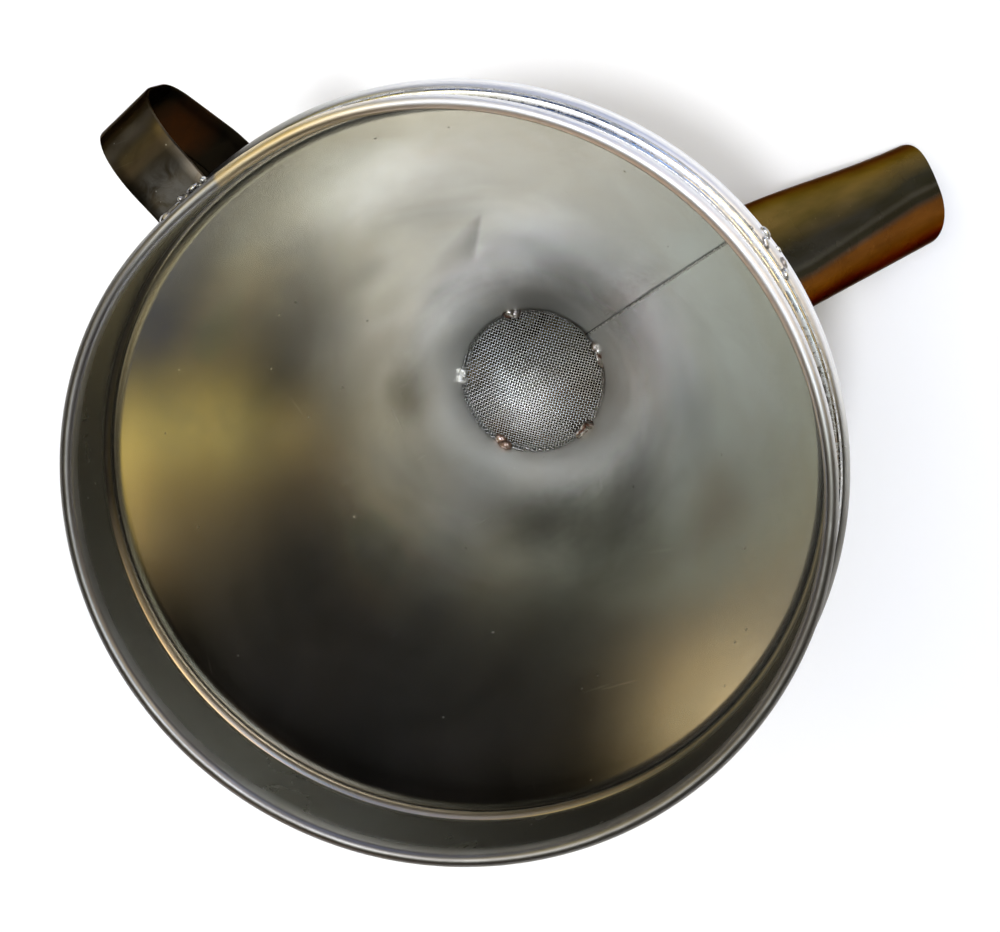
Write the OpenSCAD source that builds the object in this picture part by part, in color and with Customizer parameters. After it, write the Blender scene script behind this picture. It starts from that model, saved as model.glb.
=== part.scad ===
// Strainer funnel of soldered tinplate: a 60 degree cone with a thick curled bead, a wired splash collar
// that stands on the bead, a strap handle at the side, a slanting tapered spout and a domed wire gauze in
// the throat.
// The funnel's axis is Z with the mouth up, and the spout points towards +X.
// The origin is the centre of the mouth, level with the middle of the rim wire.

/* [Sheet] */
// Thickness of the tinned sheet
sheet_t = 0.5; // [0.4:0.05:0.7]
// Leg of the solder fillets on the long joints
solder_leg = 2.2; // [1:0.1:3]

/* [Splash collar] */
// Inside diameter of the mouth
mouth_d = 210; // [180:1:250]
// Height from the middle of the rim wire to the collar's foot
collar_h = 27.5; // [20:0.5:40]
// Diameter of the wire in the rim
rim_wire_d = 2.8; // [2:0.1:3.6]
// Play of the wire in its curl, all round
wire_play = 0.12; // [0.05:0.01:0.2]
// Width of the collar's soldered lap
collar_lap = 8; // [5:0.5:12]
// Azimuth of the collar's lap
collar_lap_at = 97; // [60:1:97]

/* [Funnel cone] */
// Diameter of the curled bead that the collar stands on
bead_d = 7.4; // [6:0.1:9]
// How far the middle of the bead lies outside the collar's inner wall
bead_out = 2.3; // [1.8:0.1:2.7]
// Angle between the cone's wall and its axis
cone_angle = 30; // [26:0.5:36]
// Inside diameter of the cone's small end
throat_d = 46; // [38:1:54]
// Width of the cone's soldered lap
cone_lap = 6; // [4:0.5:10]
// Azimuth of the cone's lap
cone_lap_at = 19; // [10:1:30]
// Width of the solder line along the lap's inner edge
seam_w = 0.9; // [0.6:0.1:1.5]
// Height of the solder lines
seam_h = 0.25; // [0.15:0.05:0.5]
// Length round the bead of the lump of solder at the lap
patch_w = 11; // [6:0.5:16]
// Thickness of that lump
patch_t = 0.7; // [0.4:0.1:1]

/* [Spout] */
// Length of the spout along its middle line
spout_len = 180; // [140:1:210]
// Angle between the spout and the funnel's axis
spout_bend = 47; // [35:1:55]
// Outside diameter of the spout's tip
spout_tip_d = 37.6; // [30:0.2:42]

/* [Strainer gauze] */
// Diameter of the gauze disc at its edge
gauze_d = 48; // [47:0.5:58]
// Height of the gauze's dome
gauze_rise = 7; // [4:0.5:12]
// Spacing of the wires
gauze_pitch = 2.6; // [2.5:0.1:4]
// Diameter of the wires
gauze_wire_d = 0.5; // [0.3:0.05:0.8]
// Azimuth that the warp wires run along
gauze_turn = 54; // [0:1:90]
// Gap between the ends of the wires and the cone
gauze_play = 0.25; // [0.1:0.05:0.4]
// Diameter of the solder tacks
tack_d = 4.4; // [3:0.2:6]

/* [Handle] */
// Azimuth of the handle
handle_at = 110.4; // [108:0.1:180]
// Width of the strap
strap_w = 19; // [14:0.5:26]
// Width of the folded hems along the strap's edges
hem_w = 4; // [2:0.5:5]
// How far the strap stands out from the collar
handle_reach = 33; // [26:0.5:45]
// Distance between the rim's curl and the middle of the strap's upper run
handle_clear = 1.8; // [1.6:0.1:6]
// Height of the loop, between the middles of its upper and lower runs
handle_h = 60; // [50:0.5:75]
// Length of the tab that lies on the collar
top_tab = 13; // [8:0.5:16]
// Length of the foot that lies on the cone
foot_tab = 15; // [10:0.5:25]
// Radius of the strap's upper bend
upper_bend_r = 20; // [14:0.5:22]
// Radius of the strap's outer and lower bends
lower_bend_r = 18; // [12:0.5:20]
// Radius of the small bends at the tab and the foot
tab_bend_r = 3; // [2:0.5:5]

/* [Hidden] */
$fn = 96;

// Clear distance between touching curved solids
seat = 0.02;
// Clear distance between solder and the curved beads
bead_seat = 0.1;
// Overlap that makes sure a cut goes right through
cut = 1;

mouth_r = mouth_d / 2;
collar_out_r = mouth_r + sheet_t;
rim_curl_r = rim_wire_d / 2 + wire_play + sheet_t;
rim_curl_c = mouth_r + rim_curl_r;

bead_r = bead_d / 2;
bead_c = mouth_r + bead_out;
bead_z = -collar_h - sqrt(pow(bead_r, 2) - pow(bead_out - sheet_t, 2));
// Angle round the bead at which the cone's sheet leaves it, and the stretches where the curls stay open
bead_leave = 195;
bead_gap = [214, 246];
rim_gap = [200, 236];
// Steps in the outline of a wedge
wedge_steps = 4;
// Angle round the bead where the collar's solder ends, and the facets of its underside
foot_solder_end = 62;
foot_solder_facets = 4;
// How far before the lap the lump on the bead lies, and its two ends as shares of the bead's radius
patch_shift = 4;
patch_run = [-0.6, 0.75];

// The cone's inner line runs from the bead down to the throat
cone_top_r = bead_c + bead_r * cos(bead_leave);
cone_top_z = bead_z + bead_r * sin(bead_leave);
throat_r = throat_d / 2;
sheet_h = sheet_t / cos(cone_angle);
throat_z = cone_top_z - (cone_top_r - throat_r) / tan(cone_angle);
function cone_in_r(z) = cone_top_r + (z - cone_top_z) * tan(cone_angle);
function cone_in_z(r) = cone_top_z + (r - cone_top_r) / tan(cone_angle);
function cone_out_r(z) = cone_in_r(z) + sheet_h;

spout_top_r = throat_r + sheet_h;
spout_tip_r = spout_tip_d / 2;
spout_sides = 48;
spout_rings = 8;
// Side of the spout that its lap is on, and the share of its length that the solder covers
spout_lap_side = 180;
spout_lap_run = [0.03, 0.99];
// Shoulder of the throat's fillet, as shares of its leg
shoulder = [0.85, 0.6];

gauze_r = gauze_d / 2;
gauze_z = cone_in_z(gauze_r);
gauze_reach = gauze_r - gauze_play;
dome_r = (pow(gauze_r, 2) + pow(gauze_rise, 2)) / (2 * gauze_rise);
dome_z = gauze_z + gauze_rise - dome_r;
// Least distance from the outermost wire to the gauze's edge, and the facets round a wire
wire_edge = 1;
wire_sides = 24;
wires_each_side = floor((gauze_reach - wire_edge) / gauze_pitch);
tack_at = [0, 86, 156, 223, 294];

// The strap is one sheet, and its hems fold back on the inner side of the loop
strap_t = sheet_t;
tab_u = collar_out_r + seat + strap_t / 2;
handle_drop = rim_curl_r + handle_clear;
strap_out_u = mouth_r + handle_reach;
strap_low_z = -handle_drop - handle_h;
foot_gap = (strap_t / 2 + sheet_t + seat) / cos(cone_angle);
foot_u = cone_out_r(strap_low_z) + foot_gap;
// The lower run slants inwards from the outer bend
slant = 41;
slant_u = 24;
// Steps in a bend, and the share of the upper notch that solder fills
bend_steps = 8;
notch_fill = 0.75;

// A flat ring segment: everything between two radii that a wedge of angles covers
module wedge(radius, from, to) {
    step = (to - from) / wedge_steps;
    points = [for (i = [0 : wedge_steps]) radius * [cos(from + step * i), sin(from + step * i)]];
    polygon(concat([[0, 0]], points));
}

// A sheet curled into a tube of the given outer radius, open between two angles
module curl(radius, open) {
    difference() {
        circle(radius);
        circle(radius - sheet_t);
        wedge(radius + cut, open[0], open[1]);
    }
}

// Turns a profile about the funnel's axis, over a stretch of width w centred on an azimuth
module turned(at, w, radius) {
    half = asin(w / 2 / radius);
    rotate([0, 0, at - half]) rotate_extrude(angle = 2 * half) children();
}

// Slab that reaches outwards from the axis at an azimuth, between two sideways distances
module radial_slab(at, side0, side1) {
    rotate([0, 0, at]) translate([0, side0, throat_z - cut])
        cube([bead_c + cut, side1 - side0, cut - throat_z]);
}

// Sheet collar
module splash_collar() color("silver") {
    rotate_extrude() {
        translate([mouth_r, -collar_h]) square([sheet_t, collar_h]);
        translate([rim_curl_c, 0]) curl(rim_curl_r, rim_gap);
    }
    turned(collar_lap_at, collar_lap, mouth_r)
        translate([collar_out_r - seat, -collar_h + solder_leg + seat])
            square([sheet_t + seat, collar_h - solder_leg - rim_curl_r - 3 * seat]);
}

module rim_wire() color("dimgray") {
    rotate_extrude() translate([rim_curl_c, 0]) circle(d = rim_wire_d);
}

// Solder along the outer edge of the collar's lap
module collar_lap_solder() color("gainsboro") {
    edge = collar_lap_at - asin(collar_lap / 2 / mouth_r);
    width = asin(sheet_t * 2 / mouth_r);
    rotate([0, 0, edge - width]) rotate_extrude(angle = width)
        translate([collar_out_r, -collar_h + solder_leg + seat])
            square([sheet_t * 0.7, collar_h - solder_leg - rim_curl_r - 3 * seat]);
}

// Fillet between the collar's foot and the top of the bead, its underside in flats that touch a circle just
// outside the bead
module collar_foot_solder() color("gainsboro") {
    r = bead_r + bead_seat;
    from = acos((collar_out_r - bead_c) / r);
    step = (from - foot_solder_end) / foot_solder_facets;
    corners = [for (i = [0 : foot_solder_facets - 1]) from - step * (i + 0.5)];
    underside = [for (a = corners) [bead_c, bead_z] + r / cos(step / 2) * [cos(a), sin(a)]];
    rotate_extrude() polygon(concat(
        [[collar_out_r, -collar_h + solder_leg], [collar_out_r, bead_z + r * sin(from)]],
        underside,
        [[bead_c, bead_z] + r * [cos(foot_solder_end), sin(foot_solder_end)]]
    ));
}

// Profile of a layer of the given thickness, a distance outside the cone's inner line, between two heights
module cone_layer(offset_in, thickness, low, high) {
    a = offset_in / cos(cone_angle);
    b = (offset_in + thickness) / cos(cone_angle);
    polygon([
        [cone_in_r(low) + a, low],
        [cone_in_r(low) + b, low],
        [cone_in_r(high) + b, high],
        [cone_in_r(high) + a, high],
    ]);
}

// Cone with its curled bead, and the second thickness of its lap on the outside
module funnel_cone() color("darkgray") {
    rotate_extrude() {
        cone_layer(0, sheet_t, throat_z, cone_top_z + sheet_t / 2);
        translate([bead_c, bead_z]) curl(bead_r, bead_gap);
    }
    intersection() {
        rotate_extrude()
            cone_layer(sheet_t - seat, sheet_t + seat, throat_z + solder_leg + cut, bead_z - bead_r);
        radial_slab(cone_lap_at, -cone_lap, 0);
    }
}

// Solder line along the inner edge of the cone's lap, from the gauze up to the bead
module cone_lap_solder() color("gainsboro") {
    intersection() {
        rotate_extrude() cone_layer(-seam_h - seat, seam_h, gauze_z + tack_d / 2, cone_top_z - seam_h);
        radial_slab(cone_lap_at, -seam_w / 2, seam_w / 2);
    }
}

// Lump of solder where the cone's lap comes out over the bead
module bead_patch_solder() color("gainsboro") {
    inner = bead_c + (bead_r + bead_seat) * cos(foot_solder_end) + bead_seat;
    turned(cone_lap_at - patch_shift, patch_w, bead_c) intersection() {
        difference() {
            translate([bead_c + patch_t, bead_z + patch_t / 2]) circle(bead_r);
            translate([bead_c, bead_z]) circle(bead_r + bead_seat);
        }
        translate([inner, bead_z + bead_r * patch_run[0]])
            square([bead_r, bead_r * (patch_run[1] - patch_run[0])]);
    }
}

// Point on the spout's skin: straight lines run from the level circle at the throat to the square-cut tip
function spout_point(t, angle, top_r, tip_r) =
    let (
        top = [top_r * cos(angle), top_r * sin(angle), throat_z],
        axis = [sin(spout_bend), 0, -cos(spout_bend)],
        across = [cos(spout_bend), 0, sin(spout_bend)],
        tip = [0, 0, throat_z] + spout_len * axis + tip_r * cos(angle) * across + [0, tip_r * sin(angle), 0]
    )
    top * (1 - t) + tip * t;

function spout_skin(top_r, tip_r, from, steps, t0, t1) = [
    for (i = [0 : spout_rings]) for (k = [0 : steps - 1])
        spout_point(t0 + (t1 - t0) * i / spout_rings, from + k * 360 / spout_sides, top_r, tip_r)
];

// Square faces between two rings of n points, split into triangles
function ring_quad(a, b, c, d) = [[a, b, c], [a, c, d]];

module spout() color("darkkhaki") {
    n = spout_sides;
    m = spout_rings;
    outer = spout_skin(spout_top_r, spout_tip_r, 0, n, 0, 1);
    inner = spout_skin(throat_r, spout_tip_r - sheet_t, 0, n, 0, 1);
    start = len(outer);
    faces = [
        for (i = [0 : m - 1]) for (k = [0 : n - 1])
            let (k2 = (k + 1) % n, a = i * n + k, b = i * n + k2, c = (i + 1) * n + k2, d = (i + 1) * n + k)
                each concat(
                    ring_quad(a, b, c, d),
                    ring_quad(start + b, start + a, start + d, start + c)
                ),
        for (k = [0 : n - 1])
            let (k2 = (k + 1) % n, e = m * n)
                each concat(
                    ring_quad(k2, k, start + k, start + k2),
                    ring_quad(e + k, e + k2, start + e + k2, start + e + k)
                ),
    ];
    polyhedron(concat(outer, inner), faces);
}

// Solder along the spout's lap, on its underside
module spout_lap_solder() color("gainsboro") {
    m = spout_rings;
    t0 = spout_lap_run[0];
    t1 = spout_lap_run[1];
    low = spout_skin(spout_top_r, spout_tip_r, spout_lap_side, 2, t0, t1);
    high = spout_skin(spout_top_r + seam_h * 2, spout_tip_r + seam_h * 2, spout_lap_side, 2, t0, t1);
    start = len(low);
    faces = [
        for (i = [0 : m - 1])
            let (a = 2 * i, b = 2 * i + 1, c = 2 * i + 3, d = 2 * i + 2)
                each concat(
                    ring_quad(b, a, d, c),
                    ring_quad(start + a, start + b, start + c, start + d),
                    ring_quad(a, start + a, start + d, d),
                    ring_quad(start + b, b, c, start + c)
                ),
        each ring_quad(0, 1, start + 1, start),
        each ring_quad(2 * m + 1, 2 * m, start + 2 * m, start + 2 * m + 1),
    ];
    polyhedron(concat(low, high), faces);
}

// Fillet of solder on the shoulder between cone and spout
module throat_solder() color("gainsboro") {
    leg = solder_leg;
    rotate_extrude() polygon([
        [spout_top_r, throat_z],
        [spout_top_r + leg, throat_z],
        [spout_top_r + leg * shoulder[0], throat_z + leg * shoulder[1]],
        [spout_top_r + leg * sin(cone_angle), throat_z + leg * cos(cone_angle)],
    ]);
}

// One wire of the gauze, bent over the dome in the plane x = offset
module gauze_wire(offset_x, layer) {
    sphere_r = dome_r + layer * (gauze_wire_d + seat);
    arc_r = sqrt(pow(sphere_r, 2) - pow(offset_x, 2));
    half = asin(sqrt(pow(gauze_reach, 2) - pow(offset_x, 2)) / arc_r);
    translate([offset_x, 0, dome_z]) rotate([0, -90, 0]) rotate([0, 0, -half])
        rotate_extrude(angle = 2 * half) translate([arc_r, 0]) circle(d = gauze_wire_d, $fn = wire_sides);
}

module gauze_layer(turn, layer) {
    rotate([0, 0, turn]) for (i = [-wires_each_side : wires_each_side]) gauze_wire(i * gauze_pitch, layer);
}

module gauze_warp() color("dimgray") {
    gauze_layer(gauze_turn - 90, 0);
}

module gauze_weft() color("dimgray") {
    gauze_layer(gauze_turn, 1);
}

// Dabs of solder that hold the gauze's edge on the cone
module gauze_tacks() color("gainsboro") {
    level = gauze_z + gauze_wire_d * 2;
    for (at = tack_at) difference() {
        intersection() {
            rotate([0, 0, at]) translate([cone_in_r(level), 0, level]) sphere(tack_d / 2);
            rotate_extrude() cone_layer(-tack_d, tack_d - seat, gauze_z, level + tack_d);
        }
        translate([0, 0, dome_z]) sphere(dome_r + gauze_wire_d * 1.5 + 2 * seat);
    }
}

// Corners of the strap's middle line, as [distance from the axis, height, bend radius]
strap_corners = [
    [tab_u, -handle_drop - top_tab, 0],
    [tab_u, -handle_drop, tab_bend_r],
    [strap_out_u, -handle_drop, upper_bend_r],
    [strap_out_u, strap_low_z + slant_u * tan(slant), lower_bend_r],
    [strap_out_u - slant_u, strap_low_z, lower_bend_r],
    [foot_u, strap_low_z, tab_bend_r],
    [foot_u - foot_tab * sin(cone_angle), strap_low_z - foot_tab * cos(cone_angle), 0],
];

function unit(v) = v / norm(v);
function cross2(a, b) = a[0] * b[1] - a[1] * b[0];

// Points round the bend at corner i
function bend(i, steps) =
    let (
        p = [strap_corners[i][0], strap_corners[i][1]],
        a = unit([strap_corners[i - 1][0], strap_corners[i - 1][1]] - p),
        b = unit([strap_corners[i + 1][0], strap_corners[i + 1][1]] - p),
        r = strap_corners[i][2],
        open = acos(a * b),
        middle = p + unit(a + b) * r / sin(open / 2),
        start = p + a * r / tan(open / 2) - middle,
        swing = (cross2(a, b) > 0 ? -1 : 1) * (180 - open)
    )
    [
        for (k = [0 : steps])
            let (s = swing * k / steps)
                middle + [start[0] * cos(s) - start[1] * sin(s), start[0] * sin(s) + start[1] * cos(s)]
    ];

strap_last = len(strap_corners) - 1;
strap_line = concat(
    [[strap_corners[0][0], strap_corners[0][1]]],
    [for (i = [1 : strap_last - 1]) each bend(i, bend_steps)],
    [[strap_corners[strap_last][0], strap_corners[strap_last][1]]]
);

// The middle line moved sideways by a distance, to the left of its run where that is positive
function moved(line, d) = [
    for (i = [0 : len(line) - 1])
        let (
            before = i == 0 ? line[1] - line[0] : line[i] - line[i - 1],
            after = i == len(line) - 1 ? before : line[i + 1] - line[i],
            along = unit(unit(before) + unit(after)),
            grow = 1 / max(0.5, along * unit(after))
        )
        line[i] + d * grow * [-along[1], along[0]]
];

// Band of sheet that follows the strap's line between two sideways distances
module strap_band(d0, d1, y0, y1) {
    left = moved(strap_line, d1);
    right = moved(strap_line, d0);
    n = len(left);
    translate([0, y1, 0]) rotate([90, 0, 0]) linear_extrude(y1 - y0)
        polygon(concat(right, [for (i = [n - 1 : -1 : 0]) left[i]]));
}

// Strap bent from one band, with both long edges hemmed on the inside of the loop
module handle_strap() color("dimgray") rotate([0, 0, handle_at]) {
    half = strap_w / 2;
    t = strap_t / 2;
    strap_band(-t, t, -half, half);
    for (side = [-half, half - hem_w]) strap_band(-t - sheet_t, -t + seat, side, side + hem_w);
}

// Solder in the notch above the strap's tab
module handle_top_solder() color("gainsboro") {
    low = -handle_drop - tab_bend_r;
    reach = tab_u + tab_bend_r * notch_fill;
    turned(handle_at, strap_w, mouth_r) difference() {
        polygon([
            [collar_out_r, handle_clear / 2 - handle_drop],
            [collar_out_r, low],
            [reach, low],
            [reach, strap_t / 2 + seat * 5 - handle_drop],
        ]);
        translate([tab_u + tab_bend_r, low]) circle(tab_bend_r + strap_t / 2 + seat);
    }
}

// Solder above the strap's foot, between its hems and against the cone
module handle_foot_solder() color("gainsboro") {
    leg = solder_leg;
    low = strap_low_z + strap_t / 2 + seat;
    wall_u = cone_out_r(low) + seat;
    width = strap_w - 2 * (hem_w + seat);
    rotate([0, 0, handle_at]) translate([0, width / 2, 0]) rotate([90, 0, 0]) linear_extrude(width)
        polygon([
            [wall_u, low],
            [wall_u + leg, low],
            [wall_u + leg * sin(cone_angle), low + leg * cos(cone_angle)],
        ]);
}

splash_collar();
rim_wire();
collar_lap_solder();
collar_foot_solder();
funnel_cone();
cone_lap_solder();
bead_patch_solder();
spout();
spout_lap_solder();
throat_solder();
gauze_warp();
gauze_weft();
gauze_tacks();
handle_strap();
handle_top_solder();
handle_foot_solder();
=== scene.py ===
"""The looks of a soldered tinplate strainer funnel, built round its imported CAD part.

Every length is in metres, in the part's own frame: the axis of the funnel is Z with the mouth up, the spout
points towards +X, and the origin is the centre of the mouth, level with the middle of the rim wire.
"""
import math

import bpy
import numpy as np
from mathutils import Matrix, Vector, noise


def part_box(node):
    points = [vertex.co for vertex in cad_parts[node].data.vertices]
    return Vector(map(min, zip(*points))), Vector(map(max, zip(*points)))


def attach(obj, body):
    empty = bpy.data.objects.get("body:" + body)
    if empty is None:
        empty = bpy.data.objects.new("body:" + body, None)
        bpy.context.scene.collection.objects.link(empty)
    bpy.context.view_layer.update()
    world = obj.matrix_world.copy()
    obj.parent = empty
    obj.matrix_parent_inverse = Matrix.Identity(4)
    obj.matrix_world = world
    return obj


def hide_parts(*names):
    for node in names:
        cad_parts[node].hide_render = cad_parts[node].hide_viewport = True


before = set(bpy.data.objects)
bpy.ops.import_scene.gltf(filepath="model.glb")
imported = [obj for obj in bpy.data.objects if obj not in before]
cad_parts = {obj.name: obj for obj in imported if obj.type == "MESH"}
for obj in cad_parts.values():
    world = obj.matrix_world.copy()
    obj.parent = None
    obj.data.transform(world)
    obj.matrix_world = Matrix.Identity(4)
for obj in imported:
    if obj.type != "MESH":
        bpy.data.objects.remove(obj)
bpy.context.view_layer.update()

# The unevenness of hand work is drawn from noise, the same in each run
noise.seed_set(7)

MM = 0.001
TURN = 2 * math.pi

# The sheet and its curls
SHEET = 0.5 * MM
COLLAR_R = 105 * MM
COLLAR_FOOT = -27.5 * MM
CURL_R = 2.02 * MM
CURL_C = 107.02 * MM
BEAD_R = 3.7 * MM
BEAD_C = 107.3 * MM
BEAD_Z = -30.733 * MM

# The cone's inner line, from the bead down to the throat
CONE_TOP = Vector((103.726 * MM, 0, -31.69 * MM))
THROAT = Vector((23 * MM, 0, -171.51 * MM))
SLOPE = math.tan(math.radians(30))
CONE_LAP_AT = math.radians(19.2)
COLLAR_LAP_AT = math.radians(99)

# The spout
SPOUT_BEND = math.radians(47)
SPOUT_LEN = 180 * MM
SPOUT_TOP_R = 23.577 * MM
SPOUT_TIP_R = 18.8 * MM

# The gauze
GAUZE_Z = -169.79 * MM
GAUZE_R = 23.75 * MM
GAUZE_EDGE = 24.25 * MM
GAUZE_RISE = 7 * MM
GAUZE_PITCH = 0.86 * MM
GAUZE_WIRE = 0.3 * MM
GAUZE_TURN = math.radians(54)

# The handle
HANDLE_AT = math.radians(110.4)


def cone_r(z):
    """Radius of the cone's inner face at a height."""
    return CONE_TOP.x + (z - CONE_TOP.z) * SLOPE


def clear():
    """Leave edit mode and deselect everything."""
    if bpy.context.object and bpy.context.object.mode != "OBJECT":
        bpy.ops.object.mode_set(mode="OBJECT")
    bpy.ops.object.select_all(action="DESELECT")


def edit(piece, mode="VERT"):
    """Put one piece in edit mode with nothing selected."""
    clear()
    bpy.context.view_layer.objects.active = piece
    piece.select_set(True)
    bpy.ops.object.mode_set(mode="EDIT")
    bpy.ops.mesh.select_mode(type=mode)
    bpy.ops.mesh.select_all(action="DESELECT")


def settle(piece):
    """Apply a piece's own place and turn to its mesh."""
    clear()
    bpy.context.view_layer.objects.active = piece
    piece.select_set(True)
    bpy.ops.object.transform_apply(location=True, rotation=True, scale=True)
    return piece


def apply_all(piece):
    """Apply every modifier of a piece, in order."""
    clear()
    bpy.context.view_layer.objects.active = piece
    piece.select_set(True)
    for modifier in list(piece.modifiers):
        bpy.ops.object.modifier_apply(modifier=modifier.name)
    return piece


def points_of(piece):
    """The vertices of a mesh as an array."""
    co = np.zeros(len(piece.data.vertices) * 3, np.float32)
    piece.data.vertices.foreach_get("co", co)
    return co.reshape(-1, 3).astype(float)


def put_points(piece, co):
    """Write an array of vertices back."""
    piece.data.vertices.foreach_set("co", co.astype(np.float32).ravel())
    piece.data.update()


def drawn_line(name, line):
    """A wire line through points, drawn by extruding one point after another, left in edit mode."""
    clear()
    bpy.ops.mesh.primitive_plane_add(size=MM, location=(0, 0, 0))
    piece = bpy.context.object
    piece.name = name
    piece.data.name = name
    edit(piece)
    bpy.ops.mesh.select_all(action="SELECT")
    bpy.ops.mesh.merge(type="CENTER")
    bpy.ops.transform.translate(value=line[0])
    for a, b in zip(line, line[1:]):
        bpy.ops.mesh.extrude_region_move(TRANSFORM_OT_translate={"value": Vector(b) - Vector(a)})
    return piece


def arc(centre_x, centre_z, radius, start, end, steps):
    """Points round a circle in the XZ plane, with the angles in degrees."""
    angles = [math.radians(start + (end - start) * i / steps) for i in range(steps + 1)]
    return [Vector((centre_x + radius * math.cos(a), 0, centre_z + radius * math.sin(a))) for a in angles]


def straight(a, b, steps):
    """Points from a up to b, without b."""
    return [a.lerp(b, i / steps) for i in range(steps)]


def spun(name, line, steps):
    """A surface of revolution about the funnel's axis."""
    piece = drawn_line(name, line)
    bpy.ops.mesh.select_all(action="SELECT")
    bpy.ops.mesh.spin(steps=steps, angle=TURN, center=(0, 0, 0), axis=(0, 0, 1))
    bpy.ops.mesh.select_all(action="SELECT")
    bpy.ops.mesh.remove_doubles(threshold=0.01 * MM)
    bpy.ops.mesh.normals_make_consistent(inside=False)
    bpy.ops.object.mode_set(mode="OBJECT")
    return piece


def wall(piece, thickness, offset):
    """Give a surface its sheet thickness and smooth shading with crisp cut edges."""
    solid = piece.modifiers.new("sheet", "SOLIDIFY")
    solid.thickness = thickness
    solid.offset = offset
    solid.use_even_offset = True
    apply_all(piece)
    bpy.ops.object.shade_smooth_by_angle(angle=math.radians(40))
    return piece


def wander(piece, amount, size, seed):
    """Shift a mesh's points softly with noise, so that nothing is ruler-straight."""
    co = points_of(piece)
    for i, p in enumerate(co):
        co[i] += amount * np.array(noise.noise_vector(Vector(p / size) + Vector((seed, seed, seed))))
    put_points(piece, co)


def gather(piece, at, gap, near):
    """Draw the two columns of points on either side of azimuth at together, for a steep and crisp step there."""
    co = points_of(piece)
    az = np.arctan2(co[:, 1], co[:, 0])
    r = np.hypot(co[:, 0], co[:, 1])
    off = (az - at + math.pi) % TURN - math.pi
    steps = np.unique(np.round(off, 5))
    below = np.sort(steps[steps <= 0])[-2:]
    above = np.sort(steps[steps > 0])[:2]
    for column, place in zip((*below, *above), (-near, 0.0, gap, gap + near)):
        chosen = np.abs(off - column) < 1e-4
        new = az[chosen] + place / r[chosen] - off[chosen]
        co[chosen, 0] = r[chosen] * np.cos(new)
        co[chosen, 1] = r[chosen] * np.sin(new)
    put_points(piece, co)


def press(piece, dents):
    """Push spots of the cone's sheet in or out: azimuth, radius, tangential and sloping reach, depth, turn."""
    co = points_of(piece)
    az = np.arctan2(co[:, 1], co[:, 0])
    r = np.hypot(co[:, 0], co[:, 1])
    total = np.zeros(len(co))
    for at, where, reach_t, reach_s, depth, turn in dents:
        t = ((az - math.radians(at) + math.pi) % TURN - math.pi) * where * MM
        s = (r - where * MM) / math.sin(math.radians(30))
        a = math.radians(turn)
        u = (t * math.cos(a) + s * math.sin(a)) / (reach_t * MM)
        v = (-t * math.sin(a) + s * math.cos(a)) / (reach_s * MM)
        total += depth * MM * np.exp(-(u * u + v * v))
    normal = np.stack([np.cos(az) * 0.866, np.sin(az) * 0.866, np.full(len(co), -0.5)], 1)
    put_points(piece, co + total[:, None] * normal)


def crease(piece, start, end, width_start, width_end, height):
    """Fold the cone's sheet along a line between two places, each an azimuth and a radius: a crisp crest of one
    height whose left flank grows wider towards the end."""
    co = points_of(piece)
    az = np.degrees(np.arctan2(co[:, 1], co[:, 0]))
    r = np.hypot(co[:, 0], co[:, 1])
    middle = (start[1] + end[1]) / 2 * MM

    def unrolled(at, radius):
        turned = (at - start[0] + 180) % 360 - 180
        return np.stack([np.radians(turned) * middle, (radius - start[1] * MM) * 2], -1)

    place = unrolled(az, r)
    line = unrolled(end[0], end[1] * MM)
    length = np.hypot(*line)
    along = place @ line / length
    across = place @ np.array([-line[1], line[0]]) / length
    share = along / length
    width = (width_start + (width_end - width_start) * np.clip(share, 0, 1)) * MM
    fade = np.clip(share + 0.25, 0, 0.5) / 0.5 * np.clip((1.35 - share) / 0.7, 0, 1)
    fade = fade * fade * (3 - 2 * fade)
    width = np.where(across > 0, width, width_start * MM)
    rise = height * MM * np.exp(-np.abs(across) / width) * fade
    normal = np.stack([co[:, 0] / r * 0.866, co[:, 1] / r * 0.866, np.full(len(co), -0.5)], 1)
    put_points(piece, co + rise[:, None] * normal)


def squeeze(piece):
    """Push the rim in where the handle was soldered on, most at the top and least below the bead."""
    co = points_of(piece)
    r = np.hypot(co[:, 0], co[:, 1])
    off = (np.degrees(np.arctan2(co[:, 1], co[:, 0])) - 107 + 180) % 360 - 180
    low = np.clip((co[:, 2] + 72 * MM) / (40 * MM), 0, 1)
    high = np.clip((co[:, 2] + 32 * MM) / (28 * MM), 0, 1)
    near = np.clip((118 * MM - r) / (7 * MM), 0, 1)
    up = (0.4 * low * low * (3 - 2 * low) + 0.6 * high * high * (3 - 2 * high)) * near * near * (3 - 2 * near)
    shift = 1 - 2.5 * MM * np.exp(-(off / 21) ** 2) * up / np.maximum(r, MM)
    co[:, 0] *= shift
    co[:, 1] *= shift
    put_points(piece, co)


def lap(piece, at, width, height, z_top, middle_r):
    """Lap a finished wall's ends: past azimuth at both faces step outwards by the sheet and ease back, and before
    it the outer face carries the second thickness for a width. middle_r gives the wall's middle at a height."""
    co = points_of(piece)
    az = np.arctan2(co[:, 1], co[:, 0])
    r = np.hypot(co[:, 0], co[:, 1])
    run = ((az - at + math.pi) % TURN - math.pi) * r
    ease = np.clip(1 - run / (1.6 * width), 0, 1)
    past = np.where(run > 0.02 * MM, ease * ease * (3 - 2 * ease), 0)
    outer = r > middle_r(co[:, 2])
    before = np.where(outer & (run <= 0.02 * MM) & (run > -width), 1.0, 0.0)
    fade = np.clip((z_top - co[:, 2]) / MM, 0, 1)
    shift = height * (past + before) * fade
    co[:, 0] += shift * np.cos(az)
    co[:, 1] += shift * np.sin(az)
    put_points(piece, co)


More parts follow.
